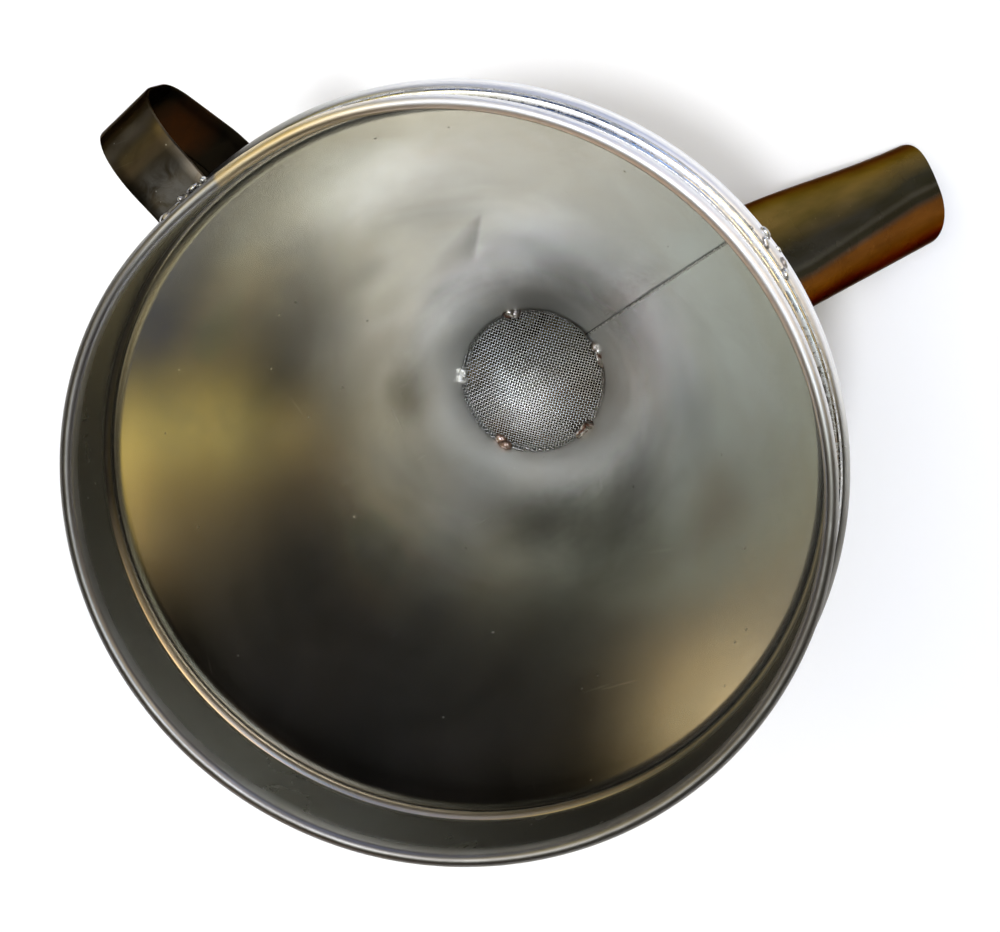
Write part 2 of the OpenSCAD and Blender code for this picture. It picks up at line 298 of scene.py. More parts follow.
def blob(name, centre, size, seed, rough=0.25):
    """A lump of solder: a ball drawn out to its half lengths and made uneven by noise."""
    clear()
    bpy.ops.mesh.primitive_ico_sphere_add(subdivisions=4, radius=1, location=centre)
    piece = bpy.context.object
    piece.name = name
    piece.scale = size
    azimuth = math.atan2(centre[1], centre[0])
    piece.rotation_euler = (0, 0, azimuth)
    settle(piece)
    wander(piece, rough * min(size), 1.4 * max(size) + 0.5 * MM, seed)
    return piece


def joined(name, pieces, voxel):
    """Join lumps into one and melt them together."""
    clear()
    for piece in pieces:
        piece.select_set(True)
    bpy.context.view_layer.objects.active = pieces[0]
    if len(pieces) > 1:
        bpy.ops.object.join()
    piece = bpy.context.object
    piece.name = name
    piece.data.name = name
    melt = piece.modifiers.new("melt", "REMESH")
    melt.mode = "VOXEL"
    melt.voxel_size = voxel
    melt.use_smooth_shade = True
    ease = piece.modifiers.new("ease", "SMOOTH")
    ease.factor = 0.5
    ease.iterations = 3
    return apply_all(piece)


def trim(piece, point, normal):
    """Cut a closed lump flat and keep the side that the normal points away from."""
    edit(piece)
    bpy.ops.mesh.select_all(action="SELECT")
    bpy.ops.mesh.bisect(plane_co=point, plane_no=normal, use_fill=True, clear_outer=True)
    bpy.ops.object.mode_set(mode="OBJECT")
    return piece


def around(at, r, z):
    """The point at an azimuth in degrees, a radius and a height."""
    a = math.radians(at)
    return Vector((r * math.cos(a), r * math.sin(a), z))


def ready(piece, slot, *nodes):
    """Tie a finished piece to the body and hide the nodes that it stands for. slot, its finish, is not used."""
    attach(piece, "root")
    if nodes:
        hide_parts(*nodes)
    return piece


# Splash collar: a band whose top edge curls over the wire, and whose ends lap
collar_line = straight(Vector((COLLAR_R, 0, COLLAR_FOOT)), Vector((COLLAR_R, 0, 0)), 10)
collar_line += arc(CURL_C, 0, CURL_R, 180, -124, 26)
collar = spun("collar_sheet", collar_line, 300)
gather(collar, COLLAR_LAP_AT, 0.15 * MM, 0.4 * MM)
gather(collar, COLLAR_LAP_AT - 8 * MM / COLLAR_R, 0.15 * MM, 0.4 * MM)
wander(collar, 0.12 * MM, 40 * MM, 3.1)
wall(collar, SHEET, -1)
lap(collar, COLLAR_LAP_AT, 8 * MM, 0.45 * MM, -2.4 * MM, lambda z: COLLAR_R + SHEET / 2)
ready(collar, "collar_tinplate", "splash_collar")

# Cone: its rim rolls out into the thick bead, and its lap runs down to the throat. Its rows lie close together
# where the sheet is dented
dents_low = THROAT.lerp(CONE_TOP, 0.13)
dents_high = THROAT.lerp(CONE_TOP, 0.52)
cone_line = straight(THROAT, dents_low, 8) + straight(dents_low, dents_high, 54)
cone_line += straight(dents_high, CONE_TOP, 18) + arc(BEAD_C, BEAD_Z, BEAD_R, 195, -112, 26)
cone = spun("cone_sheet", cone_line, 360)
gather(cone, CONE_LAP_AT, 0.12 * MM, 0.3 * MM)
press(cone, [
    (112, 58, 9, 12, -0.35, 10),
    (124, 48, 8, 9, 0.25, 0),
    (92, 66, 16, 18, 0.3, 0),
    (44, 33, 9, 9, 0.35, 0),
])
crease(cone, (73, 64), (83.5, 48.5), 3.0, 9, 0.2)
crease(cone, (-73.6, 37.3), (-88, 39.8), 1.2, 2.5, -0.2)
wall(cone, SHEET, 1)
lap(cone, CONE_LAP_AT, 6 * MM, 0.45 * MM, CONE_TOP.z - 1.5 * MM, lambda z: cone_r(z) + 0.29 * MM)
# The side that faces into the cone, for its finish
co = points_of(cone)
facing = np.zeros(len(co) * 3, np.float32)
cone.data.vertices.foreach_get("normal", facing)
inwards = -(facing.reshape(-1, 3)[:, :2] * co[:, :2]).sum(1) / np.hypot(co[:, 0], co[:, 1])
within = np.clip(inwards * 2 + 0.5, 0, 1)
cone.data.attributes.new("cone_inside", "FLOAT", "POINT").data.foreach_set("value", within.astype(np.float32))
ready(cone, "cone_tinplate", "funnel_cone")

# Spout: a ruled tube from the level throat to the square-cut tip
clear()
bpy.ops.mesh.primitive_circle_add(vertices=128, radius=SPOUT_TOP_R, location=(0, 0, THROAT.z), rotation=(0, 0, 0))
spout = settle(bpy.context.object)
spout.name = "spout_tube"
spout.data.name = "spout_tube"
edit(spout)
tip = Vector((0, 0, THROAT.z)) + SPOUT_LEN * Vector((math.sin(SPOUT_BEND), 0, -math.cos(SPOUT_BEND)))
bpy.ops.mesh.primitive_circle_add(vertices=128, radius=SPOUT_TIP_R, location=tip, rotation=(0, -SPOUT_BEND, 0))
bpy.ops.mesh.select_all(action="SELECT")
bpy.ops.mesh.bridge_edge_loops(number_cuts=40, interpolation="LINEAR")
bpy.ops.mesh.select_all(action="SELECT")
bpy.ops.mesh.normals_make_consistent(inside=False)
bpy.ops.object.mode_set(mode="OBJECT")
# It is fuller on the side of +Y, and its end isn't quite square
co = points_of(spout)
axis = np.array([math.sin(SPOUT_BEND), 0, -math.cos(SPOUT_BEND)])
along = (co - np.array([0, 0, THROAT.z])) @ axis / SPOUT_LEN
side = np.clip(co[:, 1] / (SPOUT_TOP_R + (SPOUT_TIP_R - SPOUT_TOP_R) * along), 0, 1)
grow = np.clip((along - 0.2) / 0.35, 0, 1)
fall = np.clip((along - 0.6) / 0.4, 0, 1)
co[:, 1] += 2.9 * MM * side * grow * grow * (3 - 2 * grow) * (1 - fall * fall * (3 - 2 * fall))
slant = np.clip((along - 0.8) / 0.2, 0, 1)
co += (6.5 * MM * (side * slant) ** 2)[:, None] * axis
put_points(spout, co)
wall(spout, SHEET, -1)
ready(spout, "spout_tinplate", "spout")

# Gauze: plain weave of round wires over an uneven dome


def dome(x, y):
    """Height of the gauze's dome over its edge, with the top pushed off centre."""
    top = around(-146, 6 * MM, 0)
    dx = x - top.x
    dy = y - top.y
    far = np.hypot(dx, dy) + 1e-9
    ux = dx / far
    uy = dy / far
    along = -(top.x * ux + top.y * uy)
    reach = along + np.sqrt(np.maximum(along ** 2 + GAUZE_R ** 2 - top.length_squared, 0))
    share = np.clip(far / reach, 0, 1)
    upturn = np.maximum(np.hypot(x, y) - 23.45 * MM, 0) / SLOPE
    return GAUZE_RISE * 0.96 * (1 - share ** 1.2) + upturn


def gauze_layer(name, turn, side):
    """All wires of one direction: one wire drawn, arrayed, waved over and under, trimmed round and domed."""
    steps_each = 4
    count = 2 * int(GAUZE_EDGE / GAUZE_PITCH) + 1
    span = (count + 1) * GAUZE_PITCH
    clear()
    bpy.ops.mesh.primitive_circle_add(vertices=6, radius=GAUZE_WIRE / 2, rotation=(0, math.pi / 2, 0))
    wire = settle(bpy.context.object)
    wire.name = name
    wire.data.name = name
    edit(wire)
    bpy.ops.mesh.select_all(action="SELECT")
    bpy.ops.transform.translate(value=(-span / 2, -(count - 1) / 2 * GAUZE_PITCH, 0))
    step = {"value": (GAUZE_PITCH / steps_each, 0, 0)}
    for _ in range((count + 1) * steps_each):
        bpy.ops.mesh.extrude_region_move(TRANSFORM_OT_translate=step)
    bpy.ops.object.mode_set(mode="OBJECT")
    rows = wire.modifiers.new("wires", "ARRAY")
    rows.count = count
    rows.use_relative_offset = False
    rows.use_constant_offset = True
    rows.constant_offset_displace = (0, GAUZE_PITCH, 0)
    apply_all(wire)
    co = points_of(wire)
    row = np.round(co[:, 1] / GAUZE_PITCH)
    sign = np.where(row % 2 == 0, 1.0, -1.0) * side
    wave = GAUZE_WIRE * 0.5 * np.cos(math.pi * co[:, 0] / GAUZE_PITCH) * sign
    co[:, 2] += wave
    reach = np.hypot(co[:, 0], row * GAUZE_PITCH)
    keep_out = reach > GAUZE_EDGE
    put_points(wire, co)
    edit(wire)
    bpy.ops.object.mode_set(mode="OBJECT")
    wire.data.vertices.foreach_set("select", keep_out)
    bpy.ops.object.mode_set(mode="EDIT")
    bpy.ops.mesh.delete(type="VERT")
    bpy.ops.mesh.select_all(action="SELECT")
    bpy.ops.mesh.fill_holes(sides=6)
    bpy.ops.mesh.normals_make_consistent(inside=False)
    bpy.ops.object.mode_set(mode="OBJECT")
    co = points_of(wire)
    c, sn = math.cos(turn), math.sin(turn)
    x = co[:, 0] * c - co[:, 1] * sn
    y = co[:, 0] * sn + co[:, 1] * c
    co[:, 0] = x
    co[:, 1] = y
    co[:, 2] += GAUZE_Z + dome(x, y)
    put_points(wire, co)
    bpy.ops.object.shade_smooth()
    return wire


warp = ready(gauze_layer("gauze_warp_wires", GAUZE_TURN, 1), "gauze_wire", "gauze_warp")
weft = ready(gauze_layer("gauze_weft_wires", GAUZE_TURN + math.pi / 2, -1), "gauze_wire", "gauze_weft")

# Tacks: five dabs of solder at the gauze's edge, each of a few lumps, cut to the cone's face
SLOPE_OUT = Vector((math.cos(math.radians(30)), 0, -math.sin(math.radians(30))))
TACKS = [
    # azimuth, place outwards from the edge, half length round, half depth and half height in mm
    (-3, 0.0, 3.0, 1.0, 1.0),
    (3, 0.3, 2.2, 0.9, 0.9),
    (8, 0.2, 1.5, 1.0, 1.2),
    (83, -0.3, 1.8, 1.6, 1.3),
    (88, 0.3, 1.6, 1.3, 1.5),
    (153, 0.1, 1.7, 1.3, 1.7),
    (159, 0.4, 1.5, 1.5, 1.9),
    (156, 1.0, 1.0, 1.2, 1.3),
    (220, -0.4, 1.8, 1.8, 1.3),
    (225, 0.3, 1.9, 1.4, 1.5),
    (291, 0.1, 1.8, 1.5, 1.6),
    (297, -0.2, 1.9, 1.7, 1.4),
    (301, 0.5, 1.3, 1.6, 1.6),
]
tacks = []
for i, (at, outwards, wide, deep, high) in enumerate(TACKS):
    level = GAUZE_Z + 0.7 * MM
    place = around(at, cone_r(level) - 0.4 * MM + outwards * MM, level + outwards * MM)
    size = tuple(1.2 * v * MM for v in (deep, wide, high))
    lump = blob("tack", place, size, 1.3 + 2.9 * i, 0.35)
    out = Matrix.Rotation(math.radians(at), 3, "Z") @ SLOPE_OUT
    trim(lump, around(at, cone_r(level), level) + 0.1 * MM * out, out)
    tacks.append(lump)
tacks = ready(joined("gauze_tack_dabs", tacks, 0.2 * MM), "solder", "gauze_tacks")

# Handle strap: a band with hemmed edges, bent by extruding its straights and spinning its bends
TAB_U = 105.77 * MM
TOP_Z = -3.82 * MM
LOW_Z = -63.82 * MM
FOOT_U = 86.65 * MM
HEM = 0.55 * MM


def bend_strap(centre_u, centre_z, degrees, steps):
    """Carry the strap's end section round a bend."""
    bpy.ops.mesh.spin(
        steps=steps, angle=math.radians(degrees), center=(centre_u, 0, centre_z), axis=(0, -1, 0)
    )


def run_strap(du, dz, steps):
    """Carry the strap's end section straight on."""
    for _ in range(steps):
        step = {"value": (du / steps, 0, dz / steps)}
        bpy.ops.mesh.extrude_region_move(TRANSFORM_OT_translate=step)


half = 9.0 * MM
fold = [
    Vector((0, math.sin(a) * HEM / 2 + half, HEM / 2 - math.cos(a) * HEM / 2))
    for a in [math.pi * i / 5 for i in range(6)]
]
section = [Vector((0, half - 3.6 * MM, HEM))] + fold[::-1]
section += [Vector((0, y * MM, 0)) for y in (6, 3, 0, -3, -6)]
section += [Vector((v.x, -v.y, v.z)) for v in fold] + [Vector((0, -half + 3.6 * MM, HEM))]
# The tab's section faces the loop's inner side along +u, and runs upwards
section = [Vector((TAB_U + v.z, v.y, TOP_Z - 13 * MM)) for v in section]
strap = drawn_line("handle_band", section)
bpy.ops.mesh.select_all(action="SELECT")
bpy.ops.mesh.select_mode(type="EDGE")
run_strap(0, 10 * MM, 3)
bend_strap(TAB_U + 3 * MM, TOP_Z - 3 * MM, 90, 6)
run_strap(138 * MM - 20 * MM - TAB_U - 3 * MM, 0, 4)
bend_strap(118 * MM, TOP_Z - 20 * MM, 90, 14)
turn_low = 49.0
low_len = 18 * MM * math.tan(math.radians(turn_low / 2))
run_strap(0, -42.96 * MM + low_len - TOP_Z + 20 * MM, 4)
bend_strap(120 * MM, -42.96 * MM + low_len, turn_low, 8)
slant = Vector((-24, 0, -20.86)).normalized()
turn_up = 41.0
up_len = 18 * MM * math.tan(math.radians(turn_up / 2))
left = math.hypot(24, 20.86) * MM - low_len - up_len
run_strap(slant.x * left, slant.z * left, 2)
bend_strap(114 * MM - up_len, LOW_Z + 18 * MM, turn_up, 8)
foot_len = 3 * MM * math.tan(math.radians(30))
run_strap(FOOT_U - 114 * MM + up_len + foot_len, 0, 4)
bend_strap(FOOT_U + foot_len, LOW_Z - 3 * MM, -60, 6)
run_strap(-(15 * MM - foot_len) * 0.5, -(15 * MM - foot_len) * 0.866, 3)
bpy.ops.mesh.select_mode(type="VERT")
bpy.ops.mesh.select_all(action="SELECT")
bpy.ops.mesh.remove_doubles(threshold=0.01 * MM)
bpy.ops.mesh.normals_make_consistent(inside=False)
bpy.ops.object.mode_set(mode="OBJECT")
wall(strap, SHEET, 0)
# The side that faces into the loop, for its finish
co = points_of(strap)
facing = np.zeros(len(co) * 3, np.float32)
strap.data.vertices.foreach_get("normal", facing)
inward = np.array([117 * MM, 0, -36 * MM]) - co
inward[:, 1] = 0
inward /= np.linalg.norm(inward, axis=1)[:, None]
inside = np.clip((facing.reshape(-1, 3) * inward).sum(1) * 2 + 0.5, 0, 1)
strap.data.attributes.new("loop_inside", "FLOAT", "POINT").data.foreach_set("value", inside.astype(np.float32))
strap.rotation_euler = (0, 0, HANDLE_AT)
settle(strap)
ready(strap, "handle_tinplate", "handle_strap")

# Solder in the notch between the rim's curl and the strap: a long fillet with lumps along it
beads = []
for at, r, z, size, seed in (
    (110.4, 108.6, -2.9, (1.3, 9.3, 0.9), 2.2),
    (113.4, 108.4, 0.15, (1.5, 2.3, 1.25), 3.9),
    (110.1, 109.9, -2.2, (1.1, 1.1, 1.5), 8.8),
    (107.8, 109.9, -2.3, (0.9, 2.3, 1.3), 5.3),
    (105.7, 109.8, -2.3, (1.0, 1.0, 1.4), 6.4),
):
    place = around(at, r * MM, z * MM)
    beads.append(blob("bead", place, tuple(v * MM for v in size), seed, 0.2))
handle_top = ready(joined("handle_top_lumps", beads, 0.22 * MM), "solder", "handle_top_solder")

# Solder on the bead where the cone's lap comes out: a rough patch of small lumps
lumps = []
for i in range(9):
    turn = math.radians(62 - 14 * (i % 4) - 5 * math.sin(2.3 * i))
    at = 10.5 + 1.05 * i + 0.8 * math.sin(5.1 * i)
    r = BEAD_C + (BEAD_R + 0.1 * MM) * math.cos(turn)
    z = BEAD_Z + (BEAD_R + 0.1 * MM) * math.sin(turn)
    grow = 0.8 + 0.35 * math.sin(3.7 * i + 1)
    lumps.append(blob("lump", around(at, r, z), (0.8 * MM * grow, 1.7 * MM * grow, 0.8 * MM * grow), 1.7 * i, 0.4))
patch = ready(joined("bead_patch_lumps", lumps, 0.25 * MM), "solder", "bead_patch_solder")

# Solder in the corner between the collar's foot and the bead, uneven all round
corner = [
    Vector((105.5, 0, -25.6)),
    Vector((105.9, 0, -26.3)),
    Vector((106.6, 0, -26.75)),
    Vector((107.8, 0, -26.9)),
    Vector((109.0, 0, -27.25)),
    Vector((108.9, 0, -27.55)),
    Vector((107.3, 0, -27.15)),
    Vector((105.9, 0, -27.35)),
    Vector((105.5, 0, -27.4)),
    Vector((105.5, 0, -25.6)),
]
foot = spun("collar_foot_run", [v * MM for v in corner], 420)
wander(foot, 0.07 * MM, 9 * MM, 11.0)
clear()
foot.select_set(True)
bpy.context.view_layer.objects.active = foot
bpy.ops.object.shade_smooth()
ready(foot, "solder", "collar_foot_solder")



def run_of_solder(name, start, end, radius, steps, uneven, seed):
    """A thin uneven run of solder between two points."""
    clear()
    bpy.ops.mesh.primitive_circle_add(vertices=10, radius=radius)
    run = bpy.context.object
    run.rotation_euler = (end - start).to_track_quat("Z", "Y").to_euler()
    settle(run)
    run.name = name
    run.data.name = name
    edit(run)
    bpy.ops.mesh.select_all(action="SELECT")
    bpy.ops.transform.translate(value=start)
    for _ in range(steps):
        bpy.ops.mesh.extrude_region_move(TRANSFORM_OT_translate={"value": (end - start) / steps})
    bpy.ops.mesh.select_all(action="SELECT")
    bpy.ops.mesh.fill_holes(sides=10)
    bpy.ops.mesh.normals_make_consistent(inside=False)
    bpy.ops.object.mode_set(mode="OBJECT")
    wander(run, uneven, 5 * MM, seed)
    bpy.ops.object.shade_smooth()
    return run


# Solder along the step of the cone's lap, from the gauze up to the bead
low = around(math.degrees(CONE_LAP_AT), cone_r(GAUZE_Z + 2.4 * MM), GAUZE_Z + 2.4 * MM)
high = around(math.degrees(CONE_LAP_AT), CONE_TOP.x, CONE_TOP.z)
seam = run_of_solder("cone_seam_run", low, high, 0.32 * MM, 150, 0.05 * MM, 2.0)
seam = ready(seam, "solder", "cone_lap_solder")

# Solder along the outer edge of the collar's lap, and the smooth smear at its foot inside
edge_at = math.degrees(COLLAR_LAP_AT - 8 * MM / COLLAR_R) - 0.15
low = around(edge_at, COLLAR_R + SHEET + 0.1 * MM, COLLAR_FOOT + 2.2 * MM)
high = around(edge_at, COLLAR_R + SHEET + 0.1 * MM, -2.6 * MM)
lap_run = run_of_solder("collar_lap_run", low, high, 0.35 * MM, 40, 0.1 * MM, 6.0)
smear = blob("smear", around(100.0, 104.9 * MM, -27.2 * MM), (0.5 * MM, 4.2 * MM, 1.1 * MM), 7.7, 0.1)
smear_end = blob("smear", around(97.0, 105.0 * MM, -25.9 * MM), (0.4 * MM, 2.2 * MM, 0.9 * MM), 2.7, 0.1)
lap_run = ready(joined("collar_lap_run", [lap_run, smear, smear_end], 0.2 * MM), "solder", "collar_lap_solder")

# Rim wire inside the collar's curl
clear()
bpy.ops.mesh.primitive_torus_add(
    major_radius=CURL_C, minor_radius=1.4 * MM, major_segments=256, minor_segments=16, location=(0, 0, 0)
)
rim = bpy.context.object
rim.name = "rim_wire_round"
rim.data.name = "rim_wire_round"
bpy.ops.object.shade_smooth()
ready(rim, "steel_wire", "rim_wire")

for piece in (collar, cone, rim, foot, lap_run, handle_top, strap):
    squeeze(piece)

# Stage
DEPTH = min(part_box(node)[0].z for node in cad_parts)


class Sheet:
    """A node tree being filled in: nodes are added with their settings, inputs and links at once."""

    def __init__(self, tree):
        self.tree = tree

    def add(self, kind, settings=None, **inputs):
        node = self.tree.nodes.new("ShaderNode" + kind)
        for name, value in (settings or {}).items():
            setattr(node, name, value)
        for name, value in inputs.items():
            socket = node.inputs[int(name[1:])] if name[0] == "i" and name[1:].isdigit() else node.inputs[
                name.replace("_", " ")]
            if isinstance(value, bpy.types.NodeSocket):
                self.tree.links.new(value, socket)
            else:
                socket.default_value = value
        return node

    def math(self, operation, *values, clamp=False):
        node = self.add("Math", {"operation": operation, "use_clamp": clamp})
        for socket, value in zip(node.inputs, values):
            if isinstance(value, bpy.types.NodeSocket):
                self.tree.links.new(value, socket)
            else:
                socket.default_value = value
        return node.outputs[0]

    def noise(self, vector, scale, detail=3.0, rough=0.5, distortion=0.0):
        node = self.add("TexNoise", Vector=vector, Scale=scale, Detail=detail, Roughness=rough,
                        Distortion=distortion)
        return node.outputs["Fac"]

    def span(self, value, low, high, to_low=0.0, to_high=1.0):
        node = self.add("MapRange", {"clamp": True}, i0=value, i1=low, i2=high, i3=to_low, i4=to_high)
        return node.outputs[0]

    def blend(self, share, a, b):
        node = self.add("Mix", {"data_type": "RGBA"}, i0=share)
        for socket, value in ((node.inputs[6], a), (node.inputs[7], b)):
            if isinstance(value, bpy.types.NodeSocket):
                self.tree.links.new(value, socket)
            else:
                socket.default_value = value
        return node.outputs[2]


def group(name, inputs, outputs):
    """An empty shader node group with named inputs (name, kind, value) and outputs (name, kind)."""
    tree = bpy.data.node_groups.new(name, "ShaderNodeTree")
    for label, kind, value in inputs:
        socket = tree.interface.new_socket(label, in_out="INPUT", socket_type="NodeSocket" + kind)
        socket.default_value = value
    for label, kind in outputs:
        tree.interface.new_socket(label, in_out="OUTPUT", socket_type="NodeSocket" + kind)
    return Sheet(tree), tree.nodes.new("NodeGroupInput").outputs, tree.nodes.new("NodeGroupOutput").inputs


GREY = (0.5, 0.5, 0.5, 1)

# Worn tinplate: clouded by handling, with warm tarnish, fine scuffs and specks
sheet, given, result = group(
    "tin_wear",
    [
        ("Bright", "Color", GREY), ("Dull", "Color", GREY), ("Tarnish", "Color", GREY),
        ("Tarnish Share", "Float", 0.3), ("Cloud Scale", "Float", 20.0),
        ("Gloss Low", "Float", 0.15), ("Gloss High", "Float", 0.25), ("Specks", "Float", 0.5),
        ("Scuffs", "Float", 1.0),
    ],
    [("Colour", "Color"), ("Roughness", "Float"), ("Height", "Float")],
)
where = sheet.add("TexCoord").outputs["Object"]
clouds = sheet.noise(where, given["Cloud Scale"], 5.0, 0.55, 0.8)
mottle = sheet.noise(where, 160.0, 5.0, 0.6)
fine = sheet.noise(where, 1400.0, 3.0, 0.6)
stretch_a = sheet.add("Mapping", Vector=where, Rotation=(0.4, 0.2, 0.9), Scale=(30.0, 1100.0, 60.0)).outputs[0]
stretch_b = sheet.add("Mapping", Vector=where, Rotation=(0.1, 0.9, -0.5), Scale=(1300.0, 26.0, 50.0)).outputs[0]
scuff_a = sheet.span(sheet.noise(stretch_a, 1.0, 2.0, 0.5), 0.70, 0.78)
scuff_b = sheet.span(sheet.noise(stretch_b, 1.0, 2.0, 0.5), 0.71, 0.79)
scuffs = sheet.math("MULTIPLY", sheet.math("MAXIMUM", scuff_a, scuff_b), given["Scuffs"])
spots = sheet.add("TexVoronoi", Vector=where, Scale=190.0)
near = sheet.span(spots.outputs["Distance"], 0.04, 0.11, 1.0, 0.0)
rare = sheet.span(sheet.add("SeparateColor", Color=spots.outputs["Color"]).outputs[0], 0.84, 0.9)
speck = sheet.math("MULTIPLY", sheet.math("MULTIPLY", near, rare), given["Specks"])
cloud = sheet.span(clouds, 0.35, 0.68)
tarnish_at = sheet.span(sheet.noise(where, 31.0, 4.0, 0.55, 1.2), 0.42, 0.7)
colour = sheet.blend(cloud, given["Bright"], given["Dull"])
colour = sheet.blend(sheet.math("MULTIPLY", tarnish_at, given["Tarnish Share"]), colour, given["Tarnish"])
colour = sheet.blend(sheet.span(mottle, 0.3, 0.7, 0.0, 0.16), colour, given["Dull"])
colour = sheet.blend(sheet.math("MULTIPLY", scuffs, 0.10), colour, (0.85, 0.85, 0.82, 1))
colour = sheet.blend(sheet.math("MULTIPLY", speck, 0.75), colour, (0.06, 0.045, 0.03, 1))
dust = sheet.add("TexVoronoi", Vector=where, Scale=650.0)
dust_near = sheet.span(dust.outputs["Distance"], 0.08, 0.2, 1.0, 0.0)
dust_rare = sheet.span(sheet.add("SeparateColor", Color=dust.outputs["Color"]).outputs[0], 0.93, 0.97)
dust_at = sheet.math("MULTIPLY", sheet.math("MULTIPLY", dust_near, dust_rare), given["Specks"])
colour = sheet.blend(sheet.math("MULTIPLY", dust_at, 0.45), colour, (0.88, 0.88, 0.84, 1))
sheet.tree.links.new(colour, result["Colour"])
gloss = sheet.math("MULTIPLY_ADD", mottle, 0.35, sheet.math("MULTIPLY", cloud, 0.65))
gap = sheet.math("SUBTRACT", given["Gloss High"], given["Gloss Low"])
gloss = sheet.math("MULTIPLY_ADD", gloss, gap, given["Gloss Low"])
gloss = sheet.math("ADD", gloss, sheet.math("MULTIPLY", scuffs, 0.06))
gloss = sheet.math("ADD", gloss, sheet.math("MULTIPLY", speck, 0.3), clamp=True)
sheet.tree.links.new(gloss, result["Roughness"])
height = sheet.math("MULTIPLY_ADD", fine, 0.25, sheet.math("MULTIPLY", mottle, 0.3))
height = sheet.math("SUBTRACT", height, sheet.math("MULTIPLY", scuffs, 0.3))
sheet.tree.links.new(height, result["Height"])

# Solder: bright where it froze smooth, grey and frosted elsewhere, with brown flux left in its hollows
sheet, given, result = group(
    "solder_skin",
    [("Bright", "Color", GREY), ("Frost", "Color", GREY), ("Flux", "Color", GREY), ("Flux Share", "Float", 0.3),
     ("Flux Start", "Float", 0.5)],
    [("Colour", "Color"), ("Roughness", "Float"), ("Height", "Float")],
)
where = sheet.add("TexCoord").outputs["Object"]
frost = sheet.span(sheet.noise(where, 500.0, 4.0, 0.6, 0.5), 0.4, 0.62)
flux = sheet.math("SUBTRACT", sheet.noise(where, 260.0, 5.0, 0.65, 1.0), given["Flux Start"])
flux = sheet.span(flux, 0.0, 0.16)
flux = sheet.math("MULTIPLY", flux, given["Flux Share"])
colour = sheet.blend(frost, given["Bright"], given["Frost"])
sheet.tree.links.new(sheet.blend(flux, colour, given["Flux"]), result["Colour"])
gloss = sheet.math("MULTIPLY_ADD", frost, 0.2, sheet.math("MULTIPLY_ADD", flux, 0.35, 0.16))
sheet.tree.links.new(gloss, result["Roughness"])
sheet.tree.links.new(sheet.noise(where, 900.0, 4.0, 0.6), result["Height"])


def stains_and_painted_light(name):
    """An empty group that paints stains, painted light and shade over a finish: colour and gloss in, colour and gloss
    out.
    """
    both = [("Colour", "Color"), ("Roughness", "Float")]
    inner, given, result = group(name, [(*both[0], GREY), (*both[1], 0.2)], both)
    inner.tree.links.new(given["Roughness"], result["Roughness"])
    return inner, given, result


# Painted reflections along the spout over its worn finish: olive above, a dark streak with a pale line, orange-brown
# below
sheet, given, result = stains_and_painted_light("spout_stain")
where = sheet.add("TexCoord").outputs["Object"]
axes = sheet.add("SeparateXYZ", Vector=where).outputs
warp_long = sheet.add("Mapping", Vector=where, Scale=(14.0, 45.0, 14.0)).outputs[0]
bend_by = sheet.math("MULTIPLY_ADD", sheet.noise(warp_long, 1.0, 3.0, 0.5), 0.5, -0.25)
at_tip = sheet.span(axes[0], 0.095, 0.135, 0.0, -0.28)
place = sheet.math("ADD", sheet.math("MULTIPLY", axes[1], 48.0), at_tip)
soft = sheet.math("ADD", place, bend_by)
olive_reflection = sheet.blend(sheet.span(sheet.noise(warp_long, 2.2, 4.0, 0.55), 0.4, 0.65), (0.165, 0.110, 0.032, 1),
                    (0.100, 0.072, 0.019, 1))
orange_reflection = sheet.blend(sheet.span(sheet.noise(warp_long, 1.6, 4.0, 0.6), 0.4, 0.65), (0.147, 0.055, 0.011, 1),
                   (0.085, 0.032, 0.008, 1))
dark_reflection = sheet.blend(sheet.span(sheet.noise(warp_long, 1.9, 4.0, 0.55), 0.35, 0.65), (0.052, 0.049, 0.040, 1),
                    (0.033, 0.030, 0.017, 1))
colour = sheet.blend(sheet.span(soft, 0.12, 0.5), dark_reflection, olive_reflection)
pale_reflection_line = sheet.math("ABSOLUTE", sheet.math("ADD", place, 0.16))
colour = sheet.blend(sheet.span(pale_reflection_line, 0.02, 0.08, 0.4, 0.0), colour, (0.11, 0.10, 0.075, 1))
dark_reflection_line = sheet.math("ABSOLUTE", sheet.math("ADD", place, 0.26))
colour = sheet.blend(sheet.span(dark_reflection_line, 0.03, 0.09, 0.8, 0.0), colour, (0.03, 0.026, 0.014, 1))
half_bend = sheet.math("MULTIPLY_ADD", bend_by, 0.3, place)
colour = sheet.blend(sheet.span(half_bend, -0.44, -0.30), orange_reflection, colour)
worn = sheet.add("VectorMath", {"operation": "SCALE"}, i0=given["Colour"], Scale=6.0).outputs[0]
colour = sheet.add("Mix", {"data_type": "RGBA", "blend_type": "MULTIPLY"}, i0=0.45, i6=colour, i7=worn).outputs[2]
sheet.tree.links.new(colour, result["Colour"])

# The strap: painted shade inside its loop with a warm patch there, greyer by the solder, and painted light on its outer
# face
sheet, given, result = stains_and_painted_light("strap_stain")
where = sheet.add("TexCoord").outputs["Object"]
inside = sheet.add("Attribute", {"attribute_name": "loop_inside"}).outputs["Fac"]
blotch = sheet.noise(where, 170.0, 4.0, 0.6, 0.6)
warm_at = sheet.add("VectorMath", {"operation": "DISTANCE"}, i0=where, i1=around(110.4, 0.129, -0.054)).outputs["Value"]
warm = sheet.math("MULTIPLY", sheet.span(warm_at, 0.004, 0.013, 1.0, 0.0), sheet.span(blotch, 0.3, 0.6, 0.5, 1.0))
